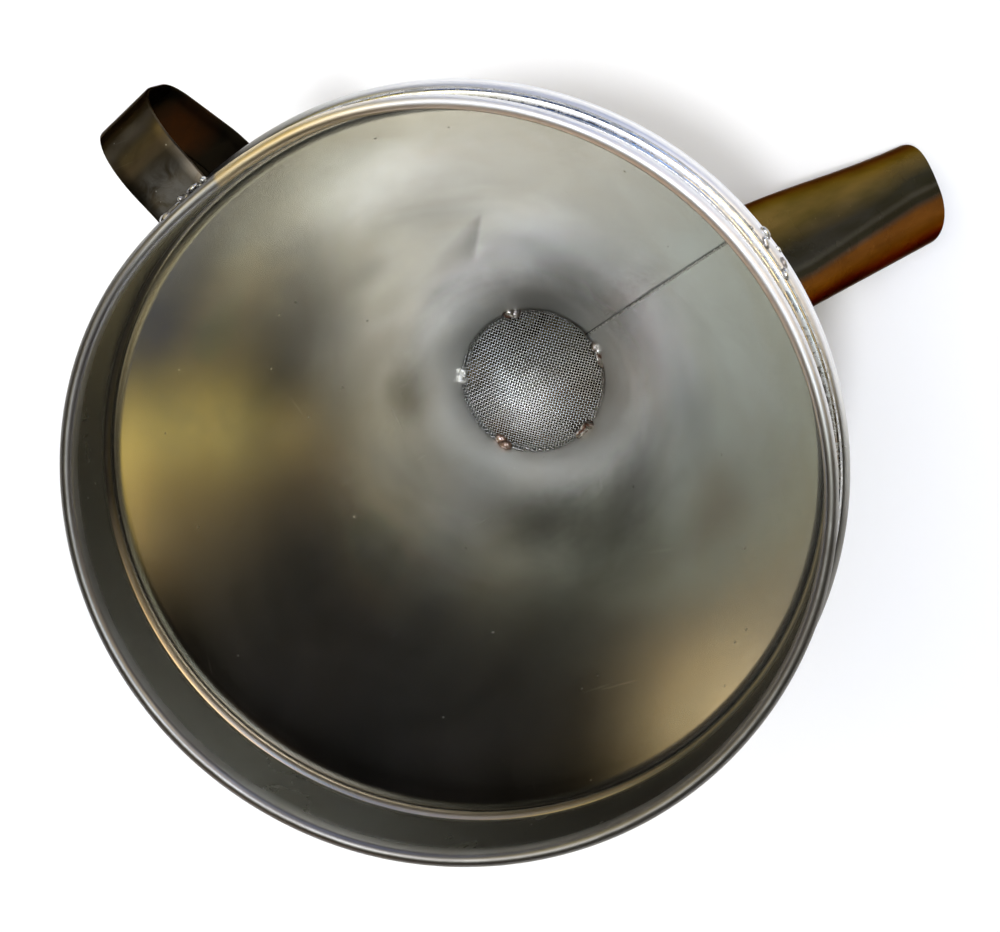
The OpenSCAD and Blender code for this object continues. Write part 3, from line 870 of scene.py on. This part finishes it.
# Painted shade inside the loop, warmer at a patch near the top
inner = sheet.blend(warm, (0.017, 0.013, 0.008, 1), (0.062, 0.020, 0.005, 1))
solder_at = sheet.add("VectorMath", {"operation": "DISTANCE"}, i0=where, i1=around(111.0, 0.109, -0.003)).outputs["Value"]
silver = sheet.math("MULTIPLY", sheet.span(solder_at, 0.004, 0.012, 0.6, 0.0), sheet.span(blotch, 0.35, 0.6))
flat = sheet.add("Mapping", Vector=where, Scale=(1.0, 1.0, 0.0)).outputs[0]
far = sheet.add("VectorMath", {"operation": "LENGTH"}, i0=flat).outputs["Value"]
# Painted light on the outer face: brighter in a band 126.5 mm out from the axis and near the rim, darker elsewhere
painted_light_gain = sheet.span(sheet.math("ABSOLUTE", sheet.math("SUBTRACT", far, 0.1265)), 0.0, 0.0065, 1.7, 0.32)
painted_light_gain = sheet.math("MAXIMUM", painted_light_gain, sheet.span(far, 0.112, 0.117, 0.8, 0.0))
outer = sheet.add("VectorMath", {"operation": "SCALE"}, i0=given["Colour"], Scale=painted_light_gain).outputs[0]
outer = sheet.blend(silver, outer, (0.15, 0.148, 0.145, 1))
sheet.tree.links.new(sheet.blend(inside, outer, inner), result["Colour"])

# The tacks: the one at the left left bright, the lowest one rusty
sheet, given, result = stains_and_painted_light("tack_stain")
where = sheet.add("TexCoord").outputs["Object"]
colour = given["Colour"]
for at, share, tone in ((156, 0.9, (0.80, 0.80, 0.78, 1)), (222, 0.6, (0.28, 0.17, 0.12, 1))):
    middle = around(at, 0.0245, GAUZE_Z + 0.0007)
    away = sheet.add("VectorMath", {"operation": "DISTANCE"}, i0=where, i1=middle).outputs["Value"]
    colour = sheet.blend(sheet.span(away, 0.003, 0.006, share, 0.0), colour, tone)
sheet.tree.links.new(colour, result["Colour"])

# The gauze: a painted highlight round the top of its dome, painted shade towards its edge
sheet, given, result = stains_and_painted_light("gauze_stain")
where = sheet.add("TexCoord").outputs["Object"]
middle = around(-150, 0.008, GAUZE_Z + 0.004)
away = sheet.add("VectorMath", {"operation": "DISTANCE"}, i0=where, i1=middle).outputs["Value"]
gain = sheet.span(away, 0.001, 0.015, 1.5, 0.84)
colour = sheet.add("VectorMath", {"operation": "SCALE"}, i0=given["Colour"], Scale=gain).outputs[0]
colour = sheet.add("VectorMath", {"operation": "MINIMUM"}, i0=colour, i1=(0.93, 0.93, 0.93)).outputs[0]
sheet.tree.links.new(colour, result["Colour"])

# The rim's painted light and shade: a painted dark reflection outside, a painted white highlight towards the spout's
# side, a painted golden reflection by the collar's lap, painted shade on the wall within
sheet, given, result = stains_and_painted_light("rim_stain")
where = sheet.add("TexCoord").outputs["Object"]
flat = sheet.add("Mapping", Vector=where, Scale=(1.0, 1.0, 0.0)).outputs[0]
far = sheet.add("VectorMath", {"operation": "LENGTH"}, i0=flat).outputs["Value"]
height = sheet.add("SeparateXYZ", Vector=where).outputs[2]
ragged = sheet.math("MULTIPLY_ADD", sheet.noise(where, 120.0, 4.0, 0.6), 0.0012, -0.0006)
outer = sheet.span(sheet.math("ADD", far, ragged), 0.1064, 0.1072)
side = sheet.add("VectorMath", {"operation": "DOT_PRODUCT"}, i0=where, i1=(0.79, 0.61, 0)).outputs["Value"]
spared = sheet.span(side, 0.045, 0.08, 1.0, 0.0)
inner = sheet.math("MULTIPLY", sheet.span(far, 0.1052, 0.1056, 1.0, 0.0), sheet.span(height, -0.006, -0.001, 1.0, 0.0))
# Painted shade and light on the collar's inner wall: darker at the left, brighter below
left = sheet.add("VectorMath", {"operation": "DOT_PRODUCT"}, i0=where, i1=(-0.985, -0.174, 0)).outputs["Value"]
below = sheet.add("VectorMath", {"operation": "DOT_PRODUCT"}, i0=where, i1=(-0.342, -0.940, 0)).outputs["Value"]
gain = sheet.math("ADD", sheet.span(left, 0.082, 0.102, 1.0, 0.72), sheet.span(below, 0.082, 0.102, 0.0, 0.5))
colour = sheet.add("VectorMath", {"operation": "SCALE"}, i0=given["Colour"], Scale=gain).outputs[0]
wall_at = sheet.span(far, 0.1052, 0.1056, 1.0, 0.0)
colour = sheet.blend(wall_at, given["Colour"], colour)
# Painted dark reflection on the outside of the curl, except towards the spout's side
colour = sheet.blend(sheet.math("MULTIPLY", sheet.math("MULTIPLY", outer, spared), 0.8), colour,
                     (0.07, 0.06, 0.045, 1))
# Painted shade on the collar's inner wall, except towards the spout's side
colour = sheet.blend(sheet.math("MULTIPLY", sheet.math("MULTIPLY", inner, spared), 0.8), colour,
                     (0.15, 0.145, 0.10, 1))
# A painted dark reflection on the top of the curl, except towards the spout's side
crest = sheet.math("MULTIPLY", sheet.span(far, 0.1050, 0.1053), sheet.span(far, 0.1064, 0.1072, 1.0, 0.0))
crest = sheet.math("MULTIPLY", sheet.math("MULTIPLY", crest, sheet.span(height, -0.002, -0.0005)), spared)
colour = sheet.blend(sheet.math("MULTIPLY", crest, 0.7), colour, (0.15, 0.14, 0.145, 1))
# A painted golden reflection on the curl by the collar's lap
gold_reflection_at = sheet.add("VectorMath", {"operation": "DISTANCE"}, i0=where, i1=around(90, 0.105, 0.001)).outputs["Value"]
gold_reflection = sheet.math("MULTIPLY", sheet.span(gold_reflection_at, 0.024, 0.036, 0.75, 0.0), sheet.span(height, -0.001, 0.001))
blunt = sheet.add("VectorMath", {"operation": "DOT_PRODUCT"}, i0=where, i1=(-1, 0, 0)).outputs["Value"]
gold_reflection = sheet.math("MULTIPLY", gold_reflection, sheet.span(blunt, 0.0240, 0.0252, 1.0, 0.0))
colour = sheet.blend(gold_reflection, colour, (0.80, 0.64, 0.36, 1))
# A painted white highlight with brushed streaks towards the spout's side, with a painted beige highlight on the curl
# and painted shade in the corner at the top of the wall
grain = sheet.add("CombineXYZ", X=far, Y=height, Z=sheet.math("MULTIPLY", side, 0.04)).outputs[0]
streak = sheet.span(sheet.noise(grain, 1300.0, 4.0, 0.65), 0.36, 0.6)
white_highlight = sheet.span(side, 0.064, 0.092)
white_highlight = sheet.math("MULTIPLY", white_highlight, sheet.span(far, 0.1034, 0.1042))
frost = sheet.blend(streak, (0.74, 0.75, 0.82, 1), (0.98, 0.98, 1.0, 1))
on_curl = sheet.span(height, -0.002, -0.0005)
beige_highlight = sheet.math("MULTIPLY", sheet.span(far, 0.1060, 0.1068, 1.0, 0.0), on_curl)
frost = sheet.blend(beige_highlight, frost, (0.90, 0.78, 0.66, 1))
edge = sheet.math("MULTIPLY", sheet.span(far, 0.1051, 0.1054, 1.0, 0.0), sheet.span(height, -0.006, -0.004))
frost = sheet.blend(edge, frost, (0.10, 0.095, 0.09, 1))
colour = sheet.blend(sheet.math("MULTIPLY", white_highlight, 0.92), colour, frost)
sheet.tree.links.new(colour, result["Colour"])
gloss = sheet.math("MULTIPLY_ADD", white_highlight, 0.24, given["Roughness"])
curls = sheet.math("MAXIMUM", sheet.span(height, -0.004, -0.002), sheet.span(height, -0.0262, -0.0255, 1.0, 0.0))
gloss = sheet.math("MULTIPLY_ADD", sheet.math("MULTIPLY", curls, spared), 0.16, gloss)
sheet.tree.links.new(sheet.math("MULTIPLY_ADD", gold_reflection, 0.1, gloss), result["Roughness"])

# Painted light and shade in the cone, each a soft spot by azimuth and radius: reach in mm and the tone that it gives
PAINTED_LIGHT_SPOTS = [
    (-75, 50, 38, (0.38, 0.37, 0.36)),
    (-102, 42, 26, (0.42, 0.42, 0.42)),
    (-105, 60, 38, (0.78, 0.78, 0.77)),
    (-48, 50, 30, (0.66, 0.64, 0.66)),
    (140, 48, 30, (0.78, 0.76, 0.74)),
    (160, 38, 18, (0.50, 0.49, 0.46)),
    (160, 64, 22, (1.35, 1.30, 1.20)),
    (135, 86, 38, (1.95, 1.80, 1.45)),
    (-158, 60, 36, (1.60, 1.50, 1.35)),
    (-150, 60, 38, (1.24, 1.25, 1.22)),
    (-138, 42, 22, (1.45, 1.45, 1.52)),
    (60, 60, 36, (1.50, 1.52, 1.60)),
    (110, 66, 30, (1.32, 1.31, 1.26)),
    (75, 43, 26, (1.80, 1.80, 1.88)),
    (108, 34, 20, (1.60, 1.60, 1.62)),
    (90, 86, 38, (1.30, 1.33, 1.40)),
    (10, 55, 36, (1.24, 1.26, 1.36)),
    (-20, 60, 26, (0.73, 0.73, 0.76)),
    (-40, 72, 28, (0.75, 0.68, 0.62)),
    (-5, 36, 26, (1.45, 1.45, 1.48)),
]


def on_cone(at, r):
    """The point of the cone's inner face at an azimuth and a radius in mm."""
    return around(at, r * MM, CONE_TOP.z + (r * MM - CONE_TOP.x) / SLOPE)


sheet, given, result = stains_and_painted_light("cone_clouds")
where = sheet.add("TexCoord").outputs["Object"]
uneven = sheet.math("SUBTRACT", sheet.noise(where, 40.0, 4.0, 0.6), 0.5)
colour = given["Colour"]
for at, r, reach, tone in PAINTED_LIGHT_SPOTS:
    middle = on_cone(at, r)
    away = sheet.add("VectorMath", {"operation": "DISTANCE"}, i0=where, i1=middle).outputs["Value"]
    away = sheet.math("MULTIPLY_ADD", uneven, 0.6 * reach * MM, away)
    share = sheet.add("MapRange", {"clamp": True, "interpolation_type": "SMOOTHSTEP"}, i0=away, i1=0.0,
                      i2=reach * MM, i3=1.0, i4=0.0).outputs[0]
    tint = sheet.blend(share, (1, 1, 1, 1), (*tone, 1))
    colour = sheet.add("VectorMath", {"operation": "MULTIPLY"}, i0=colour, i1=tint).outputs[0]
flat = sheet.add("Mapping", Vector=where, Scale=(1.0, 1.0, 0.0)).outputs[0]
far = sheet.add("VectorMath", {"operation": "LENGTH"}, i0=flat).outputs["Value"]
# A painted highlight in a ring round the gauze, with painted shade above it at azimuth 57
ring = sheet.span(far, 0.024, 0.042, 1.0, 0.0)
shade_at = on_cone(57, 29)
away = sheet.add("VectorMath", {"operation": "DISTANCE"}, i0=where, i1=shade_at).outputs["Value"]
shade = sheet.span(away, 0.007, 0.016)
dark = sheet.span(away, 0.004, 0.016, 0.75, 1.0)
gain = sheet.math("MULTIPLY_ADD", sheet.math("MULTIPLY", ring, shade), 0.35, dark)
colour = sheet.add("VectorMath", {"operation": "SCALE"}, i0=colour, Scale=gain).outputs[0]
colour = sheet.add("VectorMath", {"operation": "MINIMUM"}, i0=colour, i1=(0.93, 0.93, 0.91)).outputs[0]
# Painted shade on the left flank of the crease
fold_start = on_cone(73.3, 64.1)
fold_end = on_cone(82.8, 49.0)
fold = fold_end - fold_start
tangent = Vector((-math.sin(math.radians(78)), math.cos(math.radians(78)), 0))
leftwards = (tangent - tangent.project(fold)).normalized()
offset = sheet.add("VectorMath", {"operation": "SUBTRACT"}, i0=where, i1=fold_start).outputs[0]
down = sheet.add("VectorMath", {"operation": "DOT_PRODUCT"}, i0=offset, i1=fold.normalized()).outputs["Value"]
left = sheet.add("VectorMath", {"operation": "DOT_PRODUCT"}, i0=offset, i1=leftwards).outputs["Value"]
flank = sheet.math("DIVIDE", left, sheet.math("MAXIMUM", sheet.math("MULTIPLY_ADD", down, 0.42, 0.0015), 0.0008))
flank = sheet.math("MULTIPLY", sheet.span(flank, 0.0, 1.0, 1.0, 0.0), sheet.span(left, -0.0009, 0.0004))
flank = sheet.math("MULTIPLY", flank, sheet.span(down, -0.004, 0.004))
flank = sheet.math("MULTIPLY", flank, sheet.span(down, 0.7 * fold.length, 1.25 * fold.length, 1.0, 0.0))
gain = sheet.math("MULTIPLY_ADD", flank, -0.46, 1.0)
colour = sheet.add("VectorMath", {"operation": "SCALE"}, i0=colour, Scale=gain).outputs[0]
# A painted shadow line beside the seam's solder
seam_way = around(math.degrees(CONE_LAP_AT), 1, 0)
beside = sheet.add("VectorMath", {"operation": "DOT_PRODUCT"}, i0=where, i1=(-seam_way.y, seam_way.x, 0)).outputs["Value"]
ahead = sheet.add("VectorMath", {"operation": "DOT_PRODUCT"}, i0=where, i1=seam_way).outputs["Value"]
wide = sheet.span(sheet.math("ABSOLUTE", sheet.math("SUBTRACT", far, 0.063)), 0.0, 0.04, 0.00095, 0.0006)
line = sheet.math("MULTIPLY", sheet.span(beside, 0.0001, 0.0003), sheet.span(ahead, 0.02, 0.022))
line = sheet.math("MULTIPLY", line, sheet.span(sheet.math("SUBTRACT", beside, wide), -0.00015, 0.00015, 0.85, 0.0))
colour = sheet.blend(line, colour, (0.07, 0.07, 0.068, 1))
# The cone's edge: a painted golden reflection at the left, painted shade below
level = sheet.add("VectorMath", {"operation": "DOT_PRODUCT"}, i0=where, i1=(-0.891, 0.454, 0)).outputs["Value"]
lower = sheet.add("VectorMath", {"operation": "DOT_PRODUCT"}, i0=where, i1=(-0.643, -0.766, 0)).outputs["Value"]
at_edge = sheet.span(far, 0.0890, 0.1000)
at_edge = sheet.math("MULTIPLY", at_edge, at_edge)
colour = sheet.blend(sheet.math("MULTIPLY", at_edge, sheet.span(level, 0.078, 0.096, 0.0, 0.8)), colour,
                     (0.86, 0.80, 0.64, 1))
colour = sheet.blend(sheet.math("MULTIPLY", at_edge, sheet.span(lower, 0.055, 0.080, 0.0, 0.8)), colour,
                     (0.12, 0.112, 0.095, 1))
within = sheet.add("Attribute", {"attribute_name": "cone_inside"}).outputs["Fac"]
colour = sheet.blend(within, given["Colour"], colour)
# The bead takes the rim's painted light and shade
rim_paint = sheet.tree.nodes.new("ShaderNodeGroup")
rim_paint.node_tree = bpy.data.node_groups["rim_stain"]
sheet.tree.links.new(colour, rim_paint.inputs["Colour"])
sheet.tree.links.new(given["Roughness"], rim_paint.inputs["Roughness"])
on_bead = sheet.span(far, 0.1034, 0.1040)
colour = sheet.blend(on_bead, colour, rim_paint.outputs["Colour"])
# On the bead: painted shade at the left, a painted beige highlight at the lower left, and painted shade under it at the
# left
up = sheet.add("SeparateXYZ", Vector=where).outputs[2]
level = sheet.add("VectorMath", {"operation": "DOT_PRODUCT"}, i0=where, i1=(-0.906, 0.423, 0)).outputs["Value"]
lower = sheet.add("VectorMath", {"operation": "DOT_PRODUCT"}, i0=where, i1=(-0.707, -0.707, 0)).outputs["Value"]
bead_shade = sheet.math("MULTIPLY", sheet.span(far, 0.1033, 0.1036), sheet.span(level, 0.07, 0.09, 0.0, 0.9))
colour = sheet.blend(bead_shade, colour, (0.09, 0.08, 0.065, 1))
beige_highlight = sheet.math("MULTIPLY", sheet.span(far, 0.1033, 0.1036), sheet.span(lower, 0.05, 0.085, 0.0, 0.9))
colour = sheet.blend(beige_highlight, colour, (0.84, 0.72, 0.54, 1))
under = sheet.math("MULTIPLY", sheet.span(far, 0.1033, 0.1036), sheet.span(up, -0.0310, -0.0306, 0.95, 0.0))
around_left = sheet.math("MAXIMUM", sheet.span(level, 0.04, 0.07), sheet.span(lower, 0.02, 0.05))
colour = sheet.blend(sheet.math("MULTIPLY", under, around_left), colour, (0.05, 0.045, 0.04, 1))
sheet.tree.links.new(colour, result["Colour"])
swap = sheet.math("SUBTRACT", rim_paint.outputs["Roughness"], given["Roughness"])
gloss = sheet.math("MULTIPLY_ADD", swap, on_bead, given["Roughness"])
scatter = sheet.add("TexWhiteNoise", {"noise_dimensions": "3D"}, Vector=where).outputs["Value"]
frosted = sheet.span(sheet.math("MULTIPLY_ADD", scatter, 0.010, far), 0.036, 0.052, 0.16, 0.0)
gloss = sheet.math("MULTIPLY_ADD", frosted, within, gloss)
sheet.tree.links.new(gloss, result["Roughness"])


def finish_material(name, skin, bump, edge=None, stains_and_painted_light=None, **values):
    """A metal whose colour, gloss and relief come from a shared group with this piece's own values. edge is the
    colour of its grazing reflections, and the group that it may take paints stains, painted light and shade over its
    colour."""
    material = bpy.data.materials.new(name)
    material.use_nodes = True
    tree = material.node_tree
    shader = tree.nodes["Principled BSDF"]
    shader.inputs["Metallic"].default_value = 1.0
    if edge:
        shader.inputs["Specular Tint"].default_value = edge
    wear = tree.nodes.new("ShaderNodeGroup")
    wear.node_tree = bpy.data.node_groups[skin]
    for label, value in values.items():
        wear.inputs[label.replace("_", " ")].default_value = value
    colour = wear.outputs["Colour"]
    gloss = wear.outputs["Roughness"]
    if stains_and_painted_light:
        painted = tree.nodes.new("ShaderNodeGroup")
        painted.node_tree = bpy.data.node_groups[stains_and_painted_light]
        tree.links.new(colour, painted.inputs["Colour"])
        tree.links.new(gloss, painted.inputs["Roughness"])
        colour = painted.outputs["Colour"]
        gloss = painted.outputs["Roughness"]
    tree.links.new(colour, shader.inputs["Base Color"])
    tree.links.new(gloss, shader.inputs["Roughness"])
    relief = tree.nodes.new("ShaderNodeBump")
    relief.inputs["Strength"].default_value = 1.0
    relief.inputs["Distance"].default_value = bump
    tree.links.new(wear.outputs["Height"], relief.inputs["Height"])
    tree.links.new(relief.outputs["Normal"], shader.inputs["Normal"])
    return material


def rgb(r, g, b):
    return (r, g, b, 1)


cone_tin = finish_material(
    "cone_tin", "tin_wear", 0.006 * MM, Bright=rgb(0.57, 0.57, 0.55), Dull=rgb(0.51, 0.51, 0.485),
    Tarnish=rgb(0.49, 0.46, 0.40), Tarnish_Share=0.4, Cloud_Scale=22.0, Gloss_Low=0.16, Gloss_High=0.24,
    Specks=0.6, stains_and_painted_light="cone_clouds",
)
collar_tin = finish_material(
    "collar_tin", "tin_wear", 0.006 * MM, Bright=rgb(0.62, 0.62, 0.61), Dull=rgb(0.52, 0.52, 0.50),
    Tarnish=rgb(0.48, 0.45, 0.40), Tarnish_Share=0.4, Cloud_Scale=30.0, Gloss_Low=0.20, Gloss_High=0.30,
    Specks=0.15, Scuffs=0.25, stains_and_painted_light="rim_stain",
)
spout_tin = finish_material(
    "spout_tin", "tin_wear", 0.014 * MM, Bright=rgb(0.17, 0.17, 0.17), Dull=rgb(0.12, 0.12, 0.12),
    Tarnish=rgb(0.10, 0.09, 0.08), Tarnish_Share=0.6, Cloud_Scale=28.0, Gloss_Low=0.22, Gloss_High=0.34,
    Specks=0.8, Scuffs=0.4, edge=rgb(0.25, 0.2, 0.15), stains_and_painted_light="spout_stain",
)
strap_tin = finish_material(
    "strap_tin", "tin_wear", 0.014 * MM, Bright=rgb(0.10, 0.085, 0.062), Dull=rgb(0.052, 0.043, 0.03),
    Tarnish=rgb(0.075, 0.055, 0.034), Tarnish_Share=0.6, Cloud_Scale=75.0, Gloss_Low=0.28, Gloss_High=0.42,
    Specks=0.8, Scuffs=0.6, edge=rgb(0.3, 0.26, 0.2), stains_and_painted_light="strap_stain",
)
wire_steel = finish_material(
    "wire_steel", "tin_wear", 0.003 * MM, Bright=rgb(0.66, 0.66, 0.66), Dull=rgb(0.52, 0.52, 0.51),
    Tarnish=rgb(0.34, 0.27, 0.22), Tarnish_Share=0.4, Cloud_Scale=90.0, Gloss_Low=0.16, Gloss_High=0.28,
    Specks=0.2, stains_and_painted_light="gauze_stain",
)
solder_bright = finish_material(
    "solder_bright", "solder_skin", 0.05 * MM, Bright=rgb(0.72, 0.72, 0.71), Frost=rgb(0.50, 0.50, 0.48),
    Flux=rgb(0.16, 0.08, 0.04), Flux_Share=0.55,
)
solder_tack = finish_material(
    "solder_tack", "solder_skin", 0.05 * MM, Bright=rgb(0.52, 0.52, 0.51), Frost=rgb(0.20, 0.185, 0.16),
    Flux=rgb(0.11, 0.05, 0.03), Flux_Share=0.95, Flux_Start=0.40, stains_and_painted_light="tack_stain",
)
solder_dull = finish_material(
    "solder_dull", "solder_skin", 0.05 * MM, Bright=rgb(0.50, 0.50, 0.48), Frost=rgb(0.34, 0.34, 0.32),
    Flux=rgb(0.14, 0.10, 0.06), Flux_Share=0.4,
)
solder_smooth = finish_material(
    "solder_smooth", "solder_skin", 0.012 * MM, Bright=rgb(0.74, 0.74, 0.73), Frost=rgb(0.60, 0.60, 0.59),
    Flux=rgb(0.30, 0.28, 0.24), Flux_Share=0.2,
)
solder_seam = finish_material(
    "solder_seam", "solder_skin", 0.03 * MM, Bright=rgb(0.86, 0.86, 0.82), Frost=rgb(0.74, 0.74, 0.70),
    Flux=rgb(0.30, 0.29, 0.26), Flux_Share=0.5, Flux_Start=0.56,
)
dress = {
    collar_tin: (collar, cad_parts["splash_collar"]),
    cone_tin: (cone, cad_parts["funnel_cone"]),
    spout_tin: (spout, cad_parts["spout"]),
    strap_tin: (strap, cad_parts["handle_strap"]),
    wire_steel: (warp, weft, rim),
    solder_bright: (handle_top, patch),
    solder_tack: (tacks,),
    solder_smooth: (foot, lap_run),
    solder_seam: (seam,),
}
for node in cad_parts.values():
    node.data.materials.clear()
    node.data.materials.append(solder_dull)
for material, pieces in dress.items():
    for piece in pieces:
        piece.data.materials.clear()
        piece.data.materials.append(material)

# A pale floor that curves up to a low wall all round
FLOOR_R = 2.2
WALL_BEND = 0.6
floor_line = straight(Vector((0, 0, DEPTH)), Vector((FLOOR_R, 0, DEPTH)), 8)
floor_line += arc(FLOOR_R, DEPTH + WALL_BEND, WALL_BEND, -90, -15, 10)
floor_line.append(floor_line[-1] + 0.6 * Vector((math.sin(math.radians(15)), 0, math.cos(math.radians(15)))))
floor = spun("floor", floor_line, 96)
bpy.ops.object.shade_smooth()

paper = bpy.data.materials.new("floor_paper")
paper.use_nodes = True
shader = paper.node_tree.nodes["Principled BSDF"]
shader.inputs["Base Color"].default_value = rgb(0.93, 0.95, 0.99)
shader.inputs["Roughness"].default_value = 0.9
shader.inputs["Specular IOR Level"].default_value = 0.0
floor.data.materials.append(paper)

# Soft lights all round, as smooth spots of the world: azimuth, elevation, sharpness and colour
SOFT_LIGHTS = [
    (45, 78, 60, (6.38, 6.96, 9.37)),
    (72, 84, 60, (1.80, 1.00, 0.60)),
    (0, 84, 60, (2.46, 3.30, 2.60)),
    (90, 70, 60, (1.71, 1.64, 1.23)),
    (120, 70, 60, (2.20, 2.40, 1.95)),
    (300, 70, 60, (0.30, 0.15, 0.08)),
    (128, 60, 60, (1.10, 0.65, 0.20)),
    (108, 40, 60, (2.15, 1.75, 0.55)),
    (0, 40, 60, (1.32, 1.00, 0.50)),
    (18, 40, 60, (4.60, 3.70, 2.30)),
    (36, 24, 60, (0.50, 1.10, 2.50)),
    (72, 24, 60, (0.30, 0.45, 1.00)),
    (216, 24, 60, (1.20, 0.75, 0.45)),
]
LIGHT_LEVEL = 1.0

sheet, given, result = group(
    "soft_spot",
    [("Direction", "Vector", (0, 0, 1)), ("Middle", "Vector", (0, 0, 1)), ("Sharpness", "Float", 30.0),
     ("Light", "Color", GREY), ("Before", "Color", (0, 0, 0, 1))],
    [("Light", "Color")],
)
facing = sheet.add("VectorMath", {"operation": "DOT_PRODUCT"}, i0=given["Direction"], i1=given["Middle"])
off = sheet.math("SUBTRACT", facing.outputs["Value"], 1.0)
glow = sheet.math("EXPONENT", sheet.math("MULTIPLY", off, given["Sharpness"]))
scaled = sheet.add("VectorMath", {"operation": "SCALE"}, i0=given["Light"], Scale=glow)
total = sheet.add("VectorMath", {"operation": "ADD"}, i0=scaled.outputs[0], i1=given["Before"])
sheet.tree.links.new(total.outputs[0], result["Light"])

world = bpy.data.worlds.new("studio")
bpy.context.scene.world = world
world.use_nodes = True
tree = world.node_tree
direction = tree.nodes.new("ShaderNodeTexCoord").outputs["Generated"]
light = None
for azimuth, elevation, sharpness, colour in SOFT_LIGHTS:
    spot = tree.nodes.new("ShaderNodeGroup")
    spot.node_tree = bpy.data.node_groups["soft_spot"]
    tree.links.new(direction, spot.inputs["Direction"])
    level = math.cos(math.radians(elevation))
    spot.inputs["Middle"].default_value = around(azimuth, level, math.sin(math.radians(elevation)))
    spot.inputs["Sharpness"].default_value = sharpness
    spot.inputs["Light"].default_value = rgb(*colour)
    if light:
        tree.links.new(light, spot.inputs["Before"])
    light = spot.outputs["Light"]
tree.links.new(light, tree.nodes["Background"].inputs["Color"])
tree.nodes["Background"].inputs["Strength"].default_value = LIGHT_LEVEL

# The lamp that casts the shadow on the floor, up and to the right of the funnel
sun = bpy.data.objects.new("shadow_lamp", bpy.data.lights.new("shadow_lamp", "SUN"))
bpy.context.scene.collection.objects.link(sun)
sun.data.energy = 1.25
sun.data.angle = math.radians(4)
sun.rotation_euler = around(35, math.cos(math.radians(85.5)), math.sin(math.radians(85.5))).to_track_quat(
    "Z", "Y").to_euler()
sun.visible_glossy = False

camera = bpy.data.objects.new("camera", bpy.data.cameras.new("camera"))
bpy.context.scene.collection.objects.link(camera)
bpy.context.scene.camera = camera
camera.data.sensor_width = 36
camera.data.lens = 93.6
tilt = Vector((0.1654, 0.2166, 0))
angle = tilt.length
axis = math.sin(angle) * tilt.normalized() + math.cos(angle) * Vector((0, 0, -1))
back = -axis
right = Vector((0, 1, 0)).cross(back).normalized()
up = back.cross(right)
to_camera = Matrix((right, up, back)).transposed()
to_camera = to_camera @ Matrix.Rotation(math.radians(20.1), 3, "Z")
shift = Vector(((440.1629 - 500) / 3.6316, -(492.6935 - 466) / 3.6316, -2600 / 3.6316)) * MM
turned = to_camera.transposed()
camera.matrix_world = Matrix.Translation(-(turned @ shift)) @ turned.to_4x4()

view = bpy.context.scene.view_settings
view.view_transform = "Standard"

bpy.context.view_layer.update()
